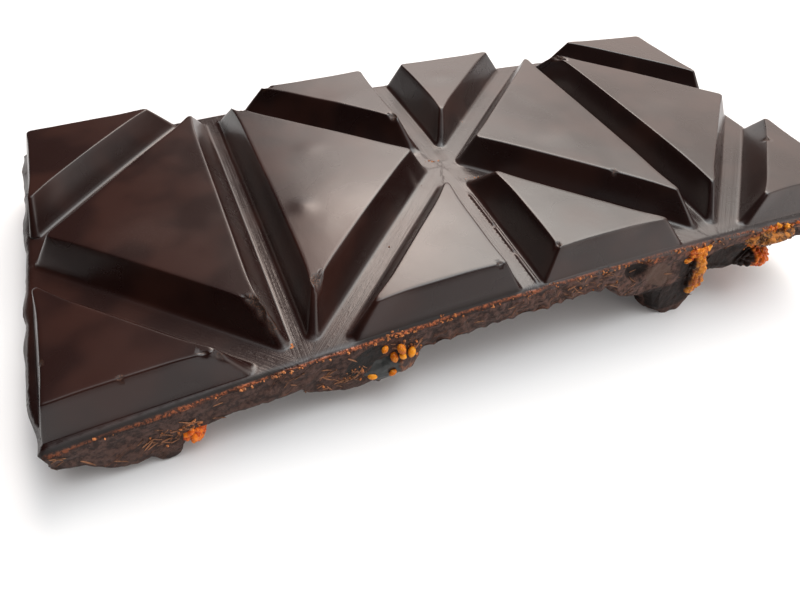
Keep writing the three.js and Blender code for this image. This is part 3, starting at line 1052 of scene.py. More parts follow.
    def add_top(self, rim: Array) -> Array:
        """Adds the raised triangles and the groove floor between them.

        Args:
            rim: the plate's outline.

        Returns:
            Numbers of the points on the outline.
        """
        bar, draft = self.bar, self.draft
        numbers = [draft.add(rim, Region.FLOOR)]
        places = [rim[:, :2]]
        loops = [np.arange(len(rim))]
        for pad in pattern_triangles(bar):
            rings = []
            for step, ring in enumerate(pad.rings()):
                over = np.maximum(0, ring[:, 0] - (bar.edge_right - self.foot_margin))
                under = np.maximum(0, bar.left(ring[:, 1]) + self.foot_margin - ring[:, 0])
                ring[:, 0] += self.foot_yield * (under - over)
                settle = 1 - smoothstep(0, self.settle_height, ring[:, 2])
                drop = bar.rim_drop * bar.rim(*ring.T[:2]) ** 2 * settle
                height = bar.sheet(*ring.T[:2]) + ring[:, 2] - drop
                region = Region.FLOOR if step == 0 else Region.WALL
                rings.append(draft.add(joined(*ring.T[:2], height), region))
                if step == 0:
                    loops.append(sum(len(loop) for loop in loops) + np.arange(len(ring)))
                    places.append(ring[:, :2])
                    numbers.append(rings[0])
                inner = ring
            for lower, upper in zip(rings, rings[1:]):
                draft.strip(lower, upper)
            self.add_cap(rings[-1], inner)
        grid = hexagonal_grid((0, 0), (bar.length, bar.width), self.floor_spacing)
        grid = grid[np.abs(grid[:, 0] - self.ledge.x) > 2 * self.ledge.half_width]
        grid = np.vstack([grid, self.ledge.places()])
        free = bar.edge_distance(*grid.T) > self.floor_spacing
        for foot in places[1:]:
            free &= ~within(grid, foot, -0.4 * self.floor_spacing)
        grid = grid[free]
        heights = bar.floor(*grid.T) + self.ledge.rise(*grid.T)
        inner = draft.add(joined(*grid.T, heights), Region.FLOOR)
        draft.fill(np.concatenate([*numbers, inner]), np.concatenate([*places, grid]), loops)
        return numbers[0]

    def add_cap(self, ring: Array, places: Array) -> None:
        """Adds the flat top of a raised triangle.

        Args:
            ring: numbers of the points round the top.
            places: their places.
        """
        line = places[:, :2]
        grid = hexagonal_grid(line.min(axis=0), line.max(axis=0), self.cap_spacing)
        grid = grid[within(grid, line, 0.5 * self.cap_spacing)]
        for chip in self.chips:
            reach = np.full(2, 1.5 * chip.radius)
            close = hexagonal_grid(-reach, reach, self.chip_spacing) + [chip.x, chip.y]
            close = close[within(close, line, self.chip_spacing)]
            if len(close):
                apart = np.hypot(*(grid[:, None] - close[None]).T).min(axis=0)
                grid = np.concatenate([grid[apart > self.chip_spacing], close])
        height = self.bar.sheet(*grid.T) + self.bar.pad_height
        self.draft.cover(ring, line, grid, height, Region.CAP)

    def add_underside(self, ring: Array, places: Array) -> None:
        """Adds the plate's underside with its lumps.

        Args:
            ring: numbers of the points round the underside.
            places: their places.
        """
        bar = self.bar
        grid = hexagonal_grid((0, 0), (bar.length, bar.width), self.under_spacing)
        grid = np.vstack([grid, self.lump_places()])
        grid = grid[bar.edge_distance(*grid.T) > 0.5 * self.under_spacing]
        self.draft.cover(ring, places, grid, self.under_height(grid), Region.UNDER)

    def worn(self) -> Array:
        """Dents, chips and roughens the bar's points.

        Returns:
            The points after wear, in the bar's axes.
        """
        bar = self.bar
        points, regions, faces = self.draft.whole()
        normals = point_normals(points, faces)
        face = (regions == Region.CAP) | (regions == Region.WALL) | (regions == Region.FLOOR)
        height = points[:, 2] - bar.sheet(*points.T[:2])
        top = face * smoothstep(0.6 * bar.pad_height, bar.pad_height - 0.3, height)
        for swell in self.swells:
            points[:, 2] += swell.weight(*points.T[:2]) * top
        flat = points * [1, 1, 0]
        points[:, 2] += top * self.face_waviness * layered_noise(flat, self.face_wave, 3, 4.2)
        self.chipped(points, height)
        rough = (regions == Region.SIDE) | (regions == Region.UNDER)
        crags = self.crag_depth * layered_noise(points, self.crag_wave, 4, 9.1)
        front = (regions == Region.SIDE) & (points[:, 1] < bar.edge_front + 1)
        torn = smoothstep(self.torn_from, self.torn_from + 4, points[:, 0])
        torn = torn * (1 - smoothstep(self.torn_to - 6, self.torn_to, points[:, 0]))
        phase = (points[:, 0] + self.torn_slant * points[:, 2]) / self.torn_wave
        phase = phase + 0.5 * noise(points / 5.0)
        ridge = 1 - 2 * np.abs(phase - np.floor(phase) - 0.5)
        crags = crags + self.torn_depth * front * torn * (ridge ** 1.5 - 0.6)
        for stain_and_painted_shade in self.stains_and_painted_shade:
            crags = crags - stain_and_painted_shade.hollow * front * stain_and_painted_shade.weight(points[:, 0], -height)
        points += normals * (rough * crags)[:, None]
        placed = bar.placed(points)
        points[:, 2] -= np.minimum(placed[:, 2] / MM, 0)
        return points

    def edge_place(self, chip: Chip) -> tuple[Array, Array]:
        """Finds where a chip sits on the nearest edge of a pad.

        Args:
            chip: the chip.

        Returns:
            The flat place on the edge and the way the wall faces there.
        """
        share = chip.height / self.bar.pad_height
        place = np.array([chip.x, chip.y])
        found = []
        for pad in pattern_triangles(self.bar):
            walls = [kind.value for kind in pad.kinds]
            corners = pad.inset([wall.foot + wall.lean * share for wall in walls])
            for start, end in zip(corners, np.roll(corners, -1, axis=0)):
                along = end - start
                foot = start + along * np.clip((place - start) @ along / (along @ along), 0, 1)
                outward = unit(np.array([along[1], -along[0]]))
                found.append((float(np.linalg.norm(place - foot)), foot, outward))
        _, foot, outward = min(found, key=lambda entry: entry[0])
        return foot, outward

    def chip_offsets(self, points: Array, height: Array) -> Iterator[tuple[Chip, Array, Array]]:
        """Measures points from every chip.

        Args:
            points: places in the bar's axes.
            height: each point's height above the groove floor.

        Yields:
            The chip, the way its wall faces and each point's offset from it.
        """
        for chip in self.chips:
            place, outward = self.edge_place(chip)
            yield chip, outward, joined(*(points[:, :2] - place).T, height - chip.height)

    def chipped(self, points: Array, height: Array) -> None:
        """Breaks the chips out of the edges.

        Args:
            points: the bar's points, changed in place.
            height: each point's height above the groove floor.
        """
        for index, (chip, outward, apart) in enumerate(self.chip_offsets(points, height)):
            facing = np.array([*outward * math.cos(math.pi / 4), math.sin(math.pi / 4)])
            out = apart @ facing
            spread = np.linalg.norm(apart - out[:, None] * facing, axis=1)
            bowl = -chip.depth + 1.6 * chip.depth * (spread / chip.radius) ** 2
            bowl += 0.35 * chip.depth * noise(points * 2.3 + index)
            cut = (spread < 1.5 * chip.radius) & (np.abs(out) < 2 * chip.radius) & (out > bowl)
            points[cut] -= (out - bowl)[cut, None] * facing

    def mark(self, made: Object, points: Array, regions: Array) -> None:
        """Stores on the mesh where the finish changes.

        Args:
            made: the object.
            points: its points in the bar's axes.
            regions: the region of each point.
        """
        bar = self.bar
        x, y = points.T[:2]
        height = points[:, 2] - bar.sheet(x, y)
        rough = ((regions == Region.SIDE) | (regions == Region.UNDER)).astype(float)
        broken = np.zeros(len(points))
        for chip, _, apart in self.chip_offsets(points, height):
            reach = np.linalg.norm(apart, axis=1) / chip.radius
            broken = np.maximum(broken, 1 - smoothstep(0.5, 0.95, reach))
        bloom = np.maximum.reduce([smear.weight(x, y) for smear in self.smears])
        bloom = bloom * (1 - rough)
        groove = (regions == Region.FLOOR).astype(float)
        front = y - bar.front(x)
        shown = rough * (front < 2.5)
        # The dark patches are mostly painted shade.
        stains_and_painted_shade = np.zeros((len(points), len(Shade)))
        for stain_and_painted_shade in self.stains_and_painted_shade:
            found = shown * stain_and_painted_shade.weight(x, -height)
            stains_and_painted_shade[:, stain_and_painted_shade.shade] = np.maximum(stains_and_painted_shade[:, stain_and_painted_shade.shade], found)
        stored = {"rough_side": rough, "broken": broken, "bloom": bloom, "groove": groove,
                  "grain": self.grain(x, y), "stain_and_painted_shade": stains_and_painted_shade,
                  "rim_place": joined(x, front, height)}
        for name, values in stored.items():
            store_values(made.data, name, values)

    def grain(self, x: Array, y: Array) -> Array:
        """Places counted across and along the nearest groove.

        Args:
            x, y: places along and across the bar.

        Returns:
            Rows of a distance across, a distance along and the groove's number.
        """
        found, nearest = joined(x, y, 0.0), np.full(len(x), np.inf)
        walls = [(pad.corners[i], pad.corners[(i + 1) % 3], kind)
                 for pad in pattern_triangles(self.bar) for i, kind in enumerate(pad.kinds)]
        for number, (start, end, kind) in enumerate(walls):
            along = unit(end - start)
            apart = np.column_stack([x, y]) - start
            across = np.abs(apart[:, 0] * along[1] - apart[:, 1] * along[0])
            closer = (across < nearest - 1e-3) & (kind is not WallKind.OUTER)
            nearest = np.where(closer, across, nearest)
            lengthwise = joined(across, apart @ along, 7.3 * number)
            found = np.where(closer[:, None], lengthwise, found)
        return found


# ---- node trees

Input = float | tuple[float, ...] | NodeSocket
Grain = dict[str, NodeSocket]


@dataclass(frozen=True)
class Desk:
    """Adds nodes to one tree and joins them."""

    tree: NodeTree

    @classmethod
    def for_material(cls, name: str) -> tuple["Desk", Material]:
        """Starts a material.

        Args:
            name: the material's name.

        Returns:
            A desk for its nodes, and the material.
        """
        made = bpy.data.materials.new(name)
        made.use_nodes = True
        return cls(made.node_tree), made

    def add(self, kind: str, values: dict[str | int, Input] | None = None,
            **settings: object) -> Node:
        """Adds a node.

        Args:
            kind: the node's type.
            values: numbers or sockets for its inputs, by name or place.
            settings: properties of the node.

        Returns:
            The node.
        """
        node = self.tree.nodes.new(kind)
        for name, value in settings.items():
            setattr(node, name, value)
        for name, value in (values or {}).items():
            self.feed(node.inputs[name], value)
        return node

    def feed(self, socket: NodeSocket, value: Input) -> None:
        """Links a socket to an input, or sets the input to a number.

        Args:
            socket: the input.
            value: another node's output, a number or a colour.
        """
        if isinstance(value, NodeSocket):
            self.tree.links.new(value, socket)
        else:
            socket.default_value = value

    def math(self, operation: str, *values: Input) -> NodeSocket:
        """Adds a calculation with one, two or three numbers."""
        node = self.add("ShaderNodeMath", dict(enumerate(values)), operation=operation)
        return node.outputs[0]

    def product(self, *values: Input) -> NodeSocket:
        """Multiplies numbers."""
        return reduce(lambda first, second: self.math("MULTIPLY", first, second), values)

    def scaled(self, value: Input, factor: Input, plus: Input) -> NodeSocket:
        """Multiplies two numbers and adds a third."""
        return self.math("MULTIPLY_ADD", value, factor, plus)

    def vector(self, operation: str, values: dict[str | int, Input]) -> NodeSocket:
        """Adds a calculation with vectors."""
        return self.add("ShaderNodeVectorMath", values, operation=operation).outputs[0]

    def ease(self, value: Input, low: Input, high: Input, start: Input = 0.0,
             end: Input = 1.0) -> NodeSocket:
        """Maps the range from low to high smoothly onto another."""
        values = dict(enumerate((value, low, high, start, end)))
        return self.add("ShaderNodeMapRange", values, interpolation_type="SMOOTHSTEP").outputs[0]

    def bell(self, value: Input, middle: float, width: float) -> NodeSocket:
        """A bell curve that is 1 at its middle and about a third at its width."""
        apart = self.math("DIVIDE", self.math("SUBTRACT", value, middle), width)
        return self.math("EXPONENT", self.product(apart, apart, -1))

    def noise(self, place: Input, scale: float, detail: float, roughness: float,
              distortion: float = 0.0) -> NodeSocket:
        """Adds layered noise between 0 and 1, with a number of waves per unit."""
        values = {"Vector": place, "Scale": scale, "Detail": detail, "Roughness": roughness}
        return self.add("ShaderNodeTexNoise", values | {"Distortion": distortion}).outputs[0]

    def attribute(self, name: str) -> NodeSocket:
        """Reads a number that the mesh stores at its points."""
        return self.add("ShaderNodeAttribute", attribute_name=name).outputs["Fac"]

    def attribute_axes(self, name: str) -> list[NodeSocket]:
        """Reads three numbers that the mesh stores together at its points."""
        stored = self.add("ShaderNodeAttribute", attribute_name=name).outputs["Vector"]
        return list(self.add("ShaderNodeSeparateXYZ", {0: stored}).outputs)

    def group(self, tree: NodeTree, **values: Input) -> Grain:
        """Places a group with numbers for its inputs, and gives its outputs by name."""
        node = self.add("ShaderNodeGroup", values, node_tree=tree)
        return {socket.name: socket for socket in node.outputs}

    def blend(self, share: Input, first: Input, second: Input,
              how: str = "MIX") -> NodeSocket:
        """Blends two colours.

        Args:
            share: 0 for the first and 1 for the second.
            first: a colour.
            second: another.
            how: kind of blend.

        Returns:
            The blend's socket.
        """
        first, second = ((*colour, 1) if isinstance(colour, tuple) else colour
                         for colour in (first, second))
        return self.add("ShaderNodeMix", {0: share, 6: first, 7: second}, data_type="RGBA",
                        blend_type=how).outputs[2]


# ---- fruit


@dataclass
class RandomSource:
    """Numbers between 0 and 1 that are the same on every run."""

    seed: int
    draw: int = 0

    def number(self) -> float:
        """The next number."""
        self.draw += 1
        return float(lattice_hash(*np.int64([self.seed, self.draw, 7 * self.seed + self.draw])))

    def between(self, low: float, high: float) -> float:
        """The next number, moved between two others."""
        return low + (high - low) * self.number()


@dataclass(frozen=True)
class Skin:
    """A fruit's slot in the record, stray from a round form, and its skin in millimetres."""

    slot: str
    unevenness: float
    depth: float
    wave: float
    knob_wave: float


class Fruit(Enum):
    """Kinds of dried fruit."""

    FIG = Skin("fig", 0.09, 0.2, 1.5, 0.9)
    PEEL = Skin("peel", 0.14, 0.46, 1.7, 0.95)


@dataclass(frozen=True)
class FruitPiece:
    """One piece of dried fruit, with the places of the seeds that show on it."""

    node: str
    kind: Fruit
    finish: str
    lump: Lump
    seeds: tuple[tuple[float, ...], ...] = ()
    detail: int = 5
    least_height: float = 0.05
    roof_depth: float = 0.3
    covered: float = -2.0
    crust_slope: float = 0.62
    crust_depth: float = 0.3

    def crust(self, places: Array) -> Array:
        """How much crumbly crust covers a fig, or chocolate the left of a peel, from 0 to 1.

        Args:
            places: places from the piece's middle.

        Returns:
            One number for each place.
        """
        along, across, up = places.T
        size = self.lump.size
        ragged = 0.9 * layered_noise(places, 1.7, 3, 5.0)
        if self.kind is Fruit.PEEL:
            return smoothstep(-0.3, 0.3, self.covered * size[0] - along + 0.5 * ragged)
        corner = -along - self.crust_slope * up - 0.8 * size[0]
        low = -up - 0.62 * size[2]
        right = along - 0.3 * size[0] + 0.4 * up
        back = across + 0.25 * size[1]
        return smoothstep(-0.4, 0.5, np.maximum.reduce([corner, low, right, back]) + ragged)

    def build(self, bar: BarShape, phase: float) -> Object:
        """Makes the piece's mesh.

        Args:
            bar: the bar it sits in.
            phase: shift that gives the piece its own dents.

        Returns:
            The object, in the frame's axes.
        """
        made, directions = ball_object(self.node + "_flesh", self.detail)
        directions = unit(directions)
        skin, is_fig = self.kind.value, self.kind is Fruit.FIG
        places = self.lump.surface(directions, skin.unevenness, phase)
        crust = self.crust(places)
        rough = crust if is_fig else np.ones(len(places))
        waves = layered_noise(places, skin.wave, 4, phase)
        knob, tone = knobs(places + 0.25 * waves[:, None], skin.knob_wave, phase)
        depth = skin.depth * (0.25 + 0.75 * rough)
        places = places + directions * (depth * (0.6 * waves + 1.2 * knob - 0.7))[:, None]
        if is_fig:
            places = places + directions * (self.crust_depth * (crust - 0.7))[:, None]
        seated = self.lump.seated(places, bar)
        inside = np.maximum(seated[:, 1], bar.front(seated[:, 0]) + 0.2)
        roof = bar.floor(seated[:, 0], inside) - self.roof_depth
        seated[:, 2] = np.minimum(seated[:, 2], roof)
        placed = bar.placed(seated)
        placed[:, 2] = np.maximum(placed[:, 2], self.least_height * MM)
        move_points(made, placed)
        for name, values in (("crust", crust), ("knob", knob), ("tone", tone)):
            store_values(made.data, name, values)
        return made

    def seed_places(self, bar: BarShape) -> tuple[Array, Array]:
        """Places of the seeds and the way each of them faces.

        Args:
            bar: the bar the piece sits in.

        Returns:
            Two lists of rows in the bar's axes.
        """
        size = np.array(self.lump.size)
        middle = self.lump.seated(np.zeros((1, 3)), bar)[0]
        places = []
        for along, up, *across in self.seeds:
            share = 1 - (along / size[0]) ** 2 - (up / size[2]) ** 2
            front = -size[1] * math.sqrt(max(share, 0))
            places.append([along, across[0] if across else front, up])
        apart = np.array(places).reshape(-1, 3)
        return middle + apart, unit(apart / size ** 2)


@dataclass(frozen=True)
class FruitFilling:
    """All the dried fruit: pieces that show at the front, and more of it under the bar."""

    bar: BarShape
    first_phase: float = 20.0
    phase_step: float = 2.7
    columns: int = 4
    rows: int = 2
    first_row: float = 0.37
    row_step: float = 0.33
    stray_along: float = 0.22
    stray_across: float = 4.0
    random_seed: int = 11
    half_length: Pair = (3.4, 5.4)
    depth_share: Pair = (0.75, 1.0)
    height_share: Pair = (0.6, 0.8)
    sunk: float = 1.6
    seeds: int = 3
    seed_spread: Pair = (0.25, 0.75)

    def front_pieces(self) -> list[FruitPiece]:
        """The pieces that show along the front side.

        Returns:
            The pieces from left to right.
        """
        fig_seeds = ((-3.0, -0.5), (-1.0, 4.9, -4.5), (1.5, 4.3, -4.9), (0.5, 2.5),
                     (1.7, 2.8, -5.1), (0.1, -0.3), (4.5, 1.0), (3.4, 2.5, -4.6))
        fig = Lump(49.7, 5.8, 7.1, (6.4, 5.3, 5.2))
        peels = {
            "peel_left": ("red_peel", Lump(20.2, 3.0, 6.8, (1.7, 2.2, 2.4)), -2.0),
            "peel_strip": ("amber_peel", Lump(110.0, 5.2, 7.7, (2.1, 4.9, 8.1), -0.2), -0.45),
            "peel_low_right": ("red_peel", Lump(125.6, 4.5, 8.7, (3.9, 4.3, 2.9)), -0.4),
            "peel_crust_right": ("browned_peel", Lump(125.9, 4.7, 2.8, (7, 4.6, 2.2), 0.08), -2.0),
        }
        return [FruitPiece("fig_front", Fruit.FIG, "fig", fig, fig_seeds, detail=6)] + [
            FruitPiece(name, Fruit.PEEL, finish, lump, detail=6, covered=covered)
            for name, (finish, lump, covered) in peels.items()]

    def under_pieces(self) -> list[FruitPiece]:
        """The pieces under the bar, one in each cell of a grid.

        Returns:
            The pieces, row by row.
        """
        random = RandomSource(self.random_seed)
        column_length = self.bar.length / self.columns
        pieces = []
        for index in range(self.columns * self.rows):
            row, column = divmod(index, self.columns)
            kind = Fruit.PEEL if (row + column) % 2 else Fruit.FIG
            half = random.between(*self.half_length)
            depth = half * random.between(*self.depth_share)
            size = (half, depth, half * random.between(*self.height_share))
            seeds = self.underside_seeds(size, random) if kind is Fruit.FIG else ()
            x = (column + 0.5) * column_length
            x += random.between(-self.stray_along, self.stray_along) * column_length
            y = (self.first_row + row * self.row_step) * self.bar.width
            y += random.between(-self.stray_across, self.stray_across)
            lump = Lump(x, y, self.bar.plate + self.sunk, size)
            finish = "fig" if kind is Fruit.FIG else "amber_peel"
            name = f"{kind.value.slot}_under_{index + 1}"
            pieces.append(FruitPiece(name, kind, finish, lump, seeds))
        return pieces

    def underside_seeds(self, size: Triple,
                        random: RandomSource) -> tuple[tuple[float, ...], ...]:
        """Places of the seeds on the underside of a fig.

        Args:
            size: the fig's half-lengths.
            random: source of the stray.

        Returns:
            Places along, up and across from the fig's middle.
        """
        places = []
        for i in range(self.seeds):
            turn = 2 * math.pi * (i + 0.6 * random.number()) / self.seeds
            spread = random.between(*self.seed_spread)
            places.append((size[0] * spread * math.cos(turn),
                           -size[2] * math.sqrt(1 - spread ** 2),
                           size[1] * spread * math.sin(turn)))
        return tuple(places)

    def build(self, materials: dict[str, Material]) -> list[Object]:
        """Makes every piece and the seeds on the figs.

        Args:
            materials: the finishes by name.

        Returns:
            The pieces, each of which replaces its node, and last the seeds.
        """
        made, places, facings = [], [], []
        for index, piece in enumerate(self.front_pieces() + self.under_pieces()):
            flesh = piece.build(self.bar, self.first_phase + self.phase_step * index)
            flesh.data.materials.append(materials[piece.finish])
            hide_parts(piece.node)
            made.append(flesh)
            if piece.seeds:
                place, facing = piece.seed_places(self.bar)
                places.append(place)
                facings.append(facing)
        tilt = self.bar.placed(np.vstack([np.eye(3), np.zeros((1, 3))])) / MM
        facing = np.concatenate(facings) @ (tilt[:3] - tilt[3])
        seeds = Scatter("fig_seeds", size=0.92, spread=0.16, turn=1.2, tip=0.25, random_seed=4)
        made.append(seeds.build(self.bar.placed(np.concatenate(places)), facing,
                                SEED.build(), materials["seed"]))
        return made


# ---- strewn bodies


@dataclass(frozen=True)
class SmallBody:
    """A small uneven body to strew: half-lengths in millimetres, dents, and how far it bends."""

    name: str
    size: Triple
    subdivisions: int
    unevenness: float
    phase: float
    bends: Pair = (0.0, 0.0)
    angular: bool = False

    def build(self) -> Object:
        """Makes one body to copy.

        Returns:
            The object, linked to the scene.
        """
        made, directions = ball_object(self.name, self.subdivisions)
        uneven = 1 + self.unevenness * noise(directions * 1.9 + self.phase)
        places = directions * np.array(self.size) * uneven[:, None] * MM
        places[:, 1:] += places[:, :1] ** 2 * self.bends
        move_points(made, places)
        if self.angular:
            made.data.shade_flat()
        return made


SEED = SmallBody("seed_body", (0.6, 0.85, 0.6), 3, 0.07, 2.0)
CRUMB = SmallBody("crumb_body", (0.56, 0.38, 0.3), 2, 0.8, 6.3, angular=True)
SHRED = SmallBody("shred_body", (0.8, 0.1, 0.07), 2, 0.3, 8.0, (190.0, 240.0))


@dataclass(frozen=True)
class Scatter:
    """Copies of a small body on points, each turned, tipped and sized a little differently."""

    name: str
    size: float
    spread: float
    turn: float
    tip: float
    random_seed: int

    def tree(self, material: Material) -> NodeTree:
        """Makes the node tree that puts the copies on the points.

        Args:
            material: finish of the copies.

        Returns:
            The tree, with named inputs for its sizes.
        """
        tree = bpy.data.node_groups.new(self.name, "GeometryNodeTree")
        sockets = {"Points": "Geometry", "Body": "Object", "Size": "Float", "Spread": "Float",
                   "Turn": "Float", "Tip": "Float", "Seed": "Int"}
        for name, kind in sockets.items():
            tree.interface.new_socket(name, in_out="INPUT", socket_type="NodeSocket" + kind)
        tree.interface.new_socket("Copies", in_out="OUTPUT", socket_type="NodeSocketGeometry")
        desk = Desk(tree)
        given = desk.add("NodeGroupInput").outputs

        def drawn(low: Input, high: Input, shift: float) -> NodeSocket:
            """A random number for each point, from the seed moved on by a shift."""
            values = {2: low, 3: high, "Seed": desk.math("ADD", given["Seed"], shift)}
            return desk.add("FunctionNodeRandomValue", values, data_type="FLOAT").outputs[1]

        facing = desk.add("GeometryNodeInputNamedAttribute", {"Name": "facing"},
                          data_type="FLOAT_VECTOR").outputs["Attribute"]
        upright = desk.add("FunctionNodeAlignRotationToVector", {"Vector": facing},
                           axis="Z").outputs["Rotation"]
        limits = (given["Tip"], given["Tip"], given["Turn"])
        angles = {step: drawn(desk.product(limit, -1.0), limit, 11.0 * step)
                  for step, limit in enumerate(limits)}
        turn = desk.add("ShaderNodeCombineXYZ", angles).outputs[0]
        own = desk.add("FunctionNodeEulerToRotation", {"Euler": turn}).outputs[0]
        rotation = desk.add("FunctionNodeRotateRotation", {0: upright, 1: own},
                            rotation_space="LOCAL").outputs[0]
        scale = drawn(desk.math("SUBTRACT", 1.0, given["Spread"]),
                      desk.math("ADD", 1.0, given["Spread"]), 5.0)
        body = desk.add("GeometryNodeObjectInfo", {"Object": given["Body"]}).outputs["Geometry"]
        copies = desk.add("GeometryNodeInstanceOnPoints", {
            "Points": given["Points"], "Instance": body, "Rotation": rotation,
            "Scale": desk.product(scale, given["Size"]),
        }).outputs[0]
        copies = desk.add("GeometryNodeStoreNamedAttribute",
                          {"Geometry": copies, "Name": "tone", "Value": drawn(0.0, 1.0, 3.0)},
                          data_type="FLOAT", domain="INSTANCE").outputs[0]
        real = desk.add("GeometryNodeRealizeInstances", {0: copies}).outputs[0]
        dressed = desk.add("GeometryNodeSetMaterial", {0: real, "Material": material}).outputs[0]
        desk.add("NodeGroupOutput", {0: dressed})
        return tree

    def build(self, places: Array, facings: Array, body: Object,
              material: Material) -> Object:
        """Strews the copies and turns them into a plain mesh.

        Args:
            places: where the copies go, in metres.
            facings: the way up from the surface at each place.
            body: the body that is copied. It is removed afterwards.
            material: finish of the copies.

        Returns:
            The mesh object.
        """
        cloud = bpy.data.meshes.new(self.name + "_points")
        cloud.from_pydata(places.tolist(), [], [])
        store_values(cloud, "facing", facings)
        points = linked(self.name + "_points", cloud)
        modifier = points.modifiers.new("strew", "NODES")
        modifier.node_group = self.tree(material)
        values = {"Body": body, "Size": self.size, "Spread": self.spread, "Turn": self.turn,
                  "Tip": self.tip, "Seed": self.random_seed}
        for item in modifier.node_group.interface.items_tree:
            if item.in_out == "INPUT" and item.name in values:
                modifier[item.identifier] = values[item.name]
        evaluated = points.evaluated_get(bpy.context.evaluated_depsgraph_get())
        mesh = bpy.data.meshes.new_from_object(evaluated)
        mesh.name = self.name
        for spare in (points, body):
            spare_mesh = spare.data
            bpy.data.objects.remove(spare)
            bpy.data.meshes.remove(spare_mesh)
        return linked(self.name, mesh)


@dataclass(frozen=True)
class SidePatch:
    """Bits on the front side: place along and below the face, reach, crumbs and shreds."""

    x: float
    below: float
    reach: float
    crumbs: int
    shreds: int = 0


@dataclass(frozen=True)
class Debris:
    """Crumbs on the bar's front rim and face, and shreds and bits of peel on its front side."""

    bar: BarShape
    random_seed: int = 5
    rim_crumbs: int = 190
    rim_reach: Pair = (4.0, 128.0)
    crumb_size: float = 0.37
    peel_bit_size: float = 0.95
    sink: float = 0.12
    shreds: int = 80
    side_patches: tuple[SidePatch, ...] = (
        SidePatch(108.5, 1.4, 2.6, 50, 8), SidePatch(123.5, 2.6, 3.6, 40, 12),
        SidePatch(96.2, 1, 1.3, 12), SidePatch(20, 4.8, 1.8, 14, 6),
        SidePatch(52.8, 4, 2.4, 30, 8), SidePatch(44.5, 5.8, 1.8, 10, 10),
        SidePatch(16.5, 5.4, 2.2, 6, 14), SidePatch(41, 5.6, 2.6, 6, 14),
        SidePatch(86, 3, 6, 6, 20),
    )
    peel_patches: tuple[SidePatch, ...] = (
        SidePatch(108.3, 1.2, 2.1, 64), SidePatch(106.9, 3, 1.3, 12),
        SidePatch(124, 2, 3.2, 26), SidePatch(130, 1.6, 1.6, 6),
    )
    patches: tuple[Patch, ...] = (
        Patch(50.1, 2.3, 1.4, 0.4, 12), Patch(58.3, 2.6, 0.7, 0.3, 5),
        Patch(77.9, 2.4, 0.7, 0.3, 5), Patch(74.1, 1.9, 0.9, 0.3, 5),
        Patch(36, 5.2, 0.9, 0.5, 5), Patch(74, 38.2, 1.4, 0.7, 5),
        Patch(67.8, 31.5, 0.9, 0.6, 4), Patch(77.7, 30.8, 1.2, 0.8, 4),
        Patch(85.2, 48.9, 0.4, 0.3, 2), Patch(56.6, 18.8, 0.2, 0.2, 1),
        Patch(113.3, 69.4, 0.8, 0.2, 3),
    )

    def crumb_places(self) -> Array:
        """Places of the crumbs on the rim and the face.

        Returns:
            Rows of three in the bar's axes.
        """
        random = np.random.default_rng(self.random_seed)
        x = random.uniform(*self.rim_reach, self.rim_crumbs)
        wanted = 0.25 + 0.75 * smoothstep(20, 34, x) * (1 - 0.5 * smoothstep(60, 90, x))
        x = x[random.random(len(x)) < wanted]
        y = self.bar.front(x) + random.normal(0.02, 0.16, len(x))
        places = [np.column_stack([x, y])]
        for patch in self.patches:
            stray = random.normal(0, 0.6, (patch.amount, 2)) * [patch.along, patch.across]
            places.append(stray + [patch.x, patch.y])
        flat = np.concatenate(places)
        inside = np.maximum(flat[:, 1], self.bar.front(flat[:, 0]) - 0.1)
        height = self.bar.floor(flat[:, 0], inside) - self.sink
        return joined(flat[:, 0], inside, height)

    def close_to(self, patch: SidePatch, points: Array) -> Array:
        """Finds the front side's points that lie in a patch.

        Args:
            patch: the patch.
            points: the front side's points, in metres.

        Returns:
            Their numbers.
        """
        depth = float(self.bar.sheet(patch.x, 0.0)) - patch.below
        middle = self.bar.placed(np.array([[patch.x, 0.0, depth]]))[0]
        apart = np.hypot(points[:, 0] - middle[0], points[:, 2] - middle[2])
        return np.flatnonzero(apart < patch.reach * MM)

    def build(self, front_side: tuple[Array, Array],
              materials: dict[str, Material]) -> list[Object]:
        """Makes the crumbs, the shreds and the bits of peel.

        Args:
            front_side: points of the chocolate's front side and the way each faces.
            materials: the finishes by name.

        Returns:
            The three pieces.
        """
        random = np.random.default_rng(self.random_seed + 1)
        points, normals = front_side
        places = self.bar.placed(self.crumb_places())
        crumbed = [np.arange(len(points), len(points) + len(places))]
        shredded = [random.choice(len(points), self.shreds, replace=False)]
        for patch in self.side_patches:
            close = self.close_to(patch, points)
            for found, wanted in ((crumbed, patch.crumbs), (shredded, patch.shreds)):
                found.append(random.choice(close, min(wanted, len(close)), replace=False))
        peeled = [random.choice(self.close_to(patch, points), patch.crumbs)
                  for patch in self.peel_patches]
        points = np.concatenate([points, places])
        normals = np.concatenate([normals, np.tile([0.0, 0.0, 1.0], (len(places), 1))])
        seed, made = self.random_seed, []
        for scatter, chosen, body, finish, slot in (
                (Scatter("crumbs", self.crumb_size, 0.6, math.pi, 1.2, seed),
                 crumbed, CRUMB, "crumb", "chocolate"),
                (Scatter("shreds", 1.0, 0.45, 0.9, 0.12, seed),
                 shredded, SHRED, "shred", "chocolate"),
                (Scatter("peel_bits", self.peel_bit_size, 0.5, math.pi, 0.9, seed),
                 peeled, CRUMB, "peel_bits", "peel")):
            chosen = np.concatenate(chosen)
            made.append(scatter.build(points[chosen], normals[chosen], body.build(),
                                      materials[finish]))
        return made


# ---- finishes


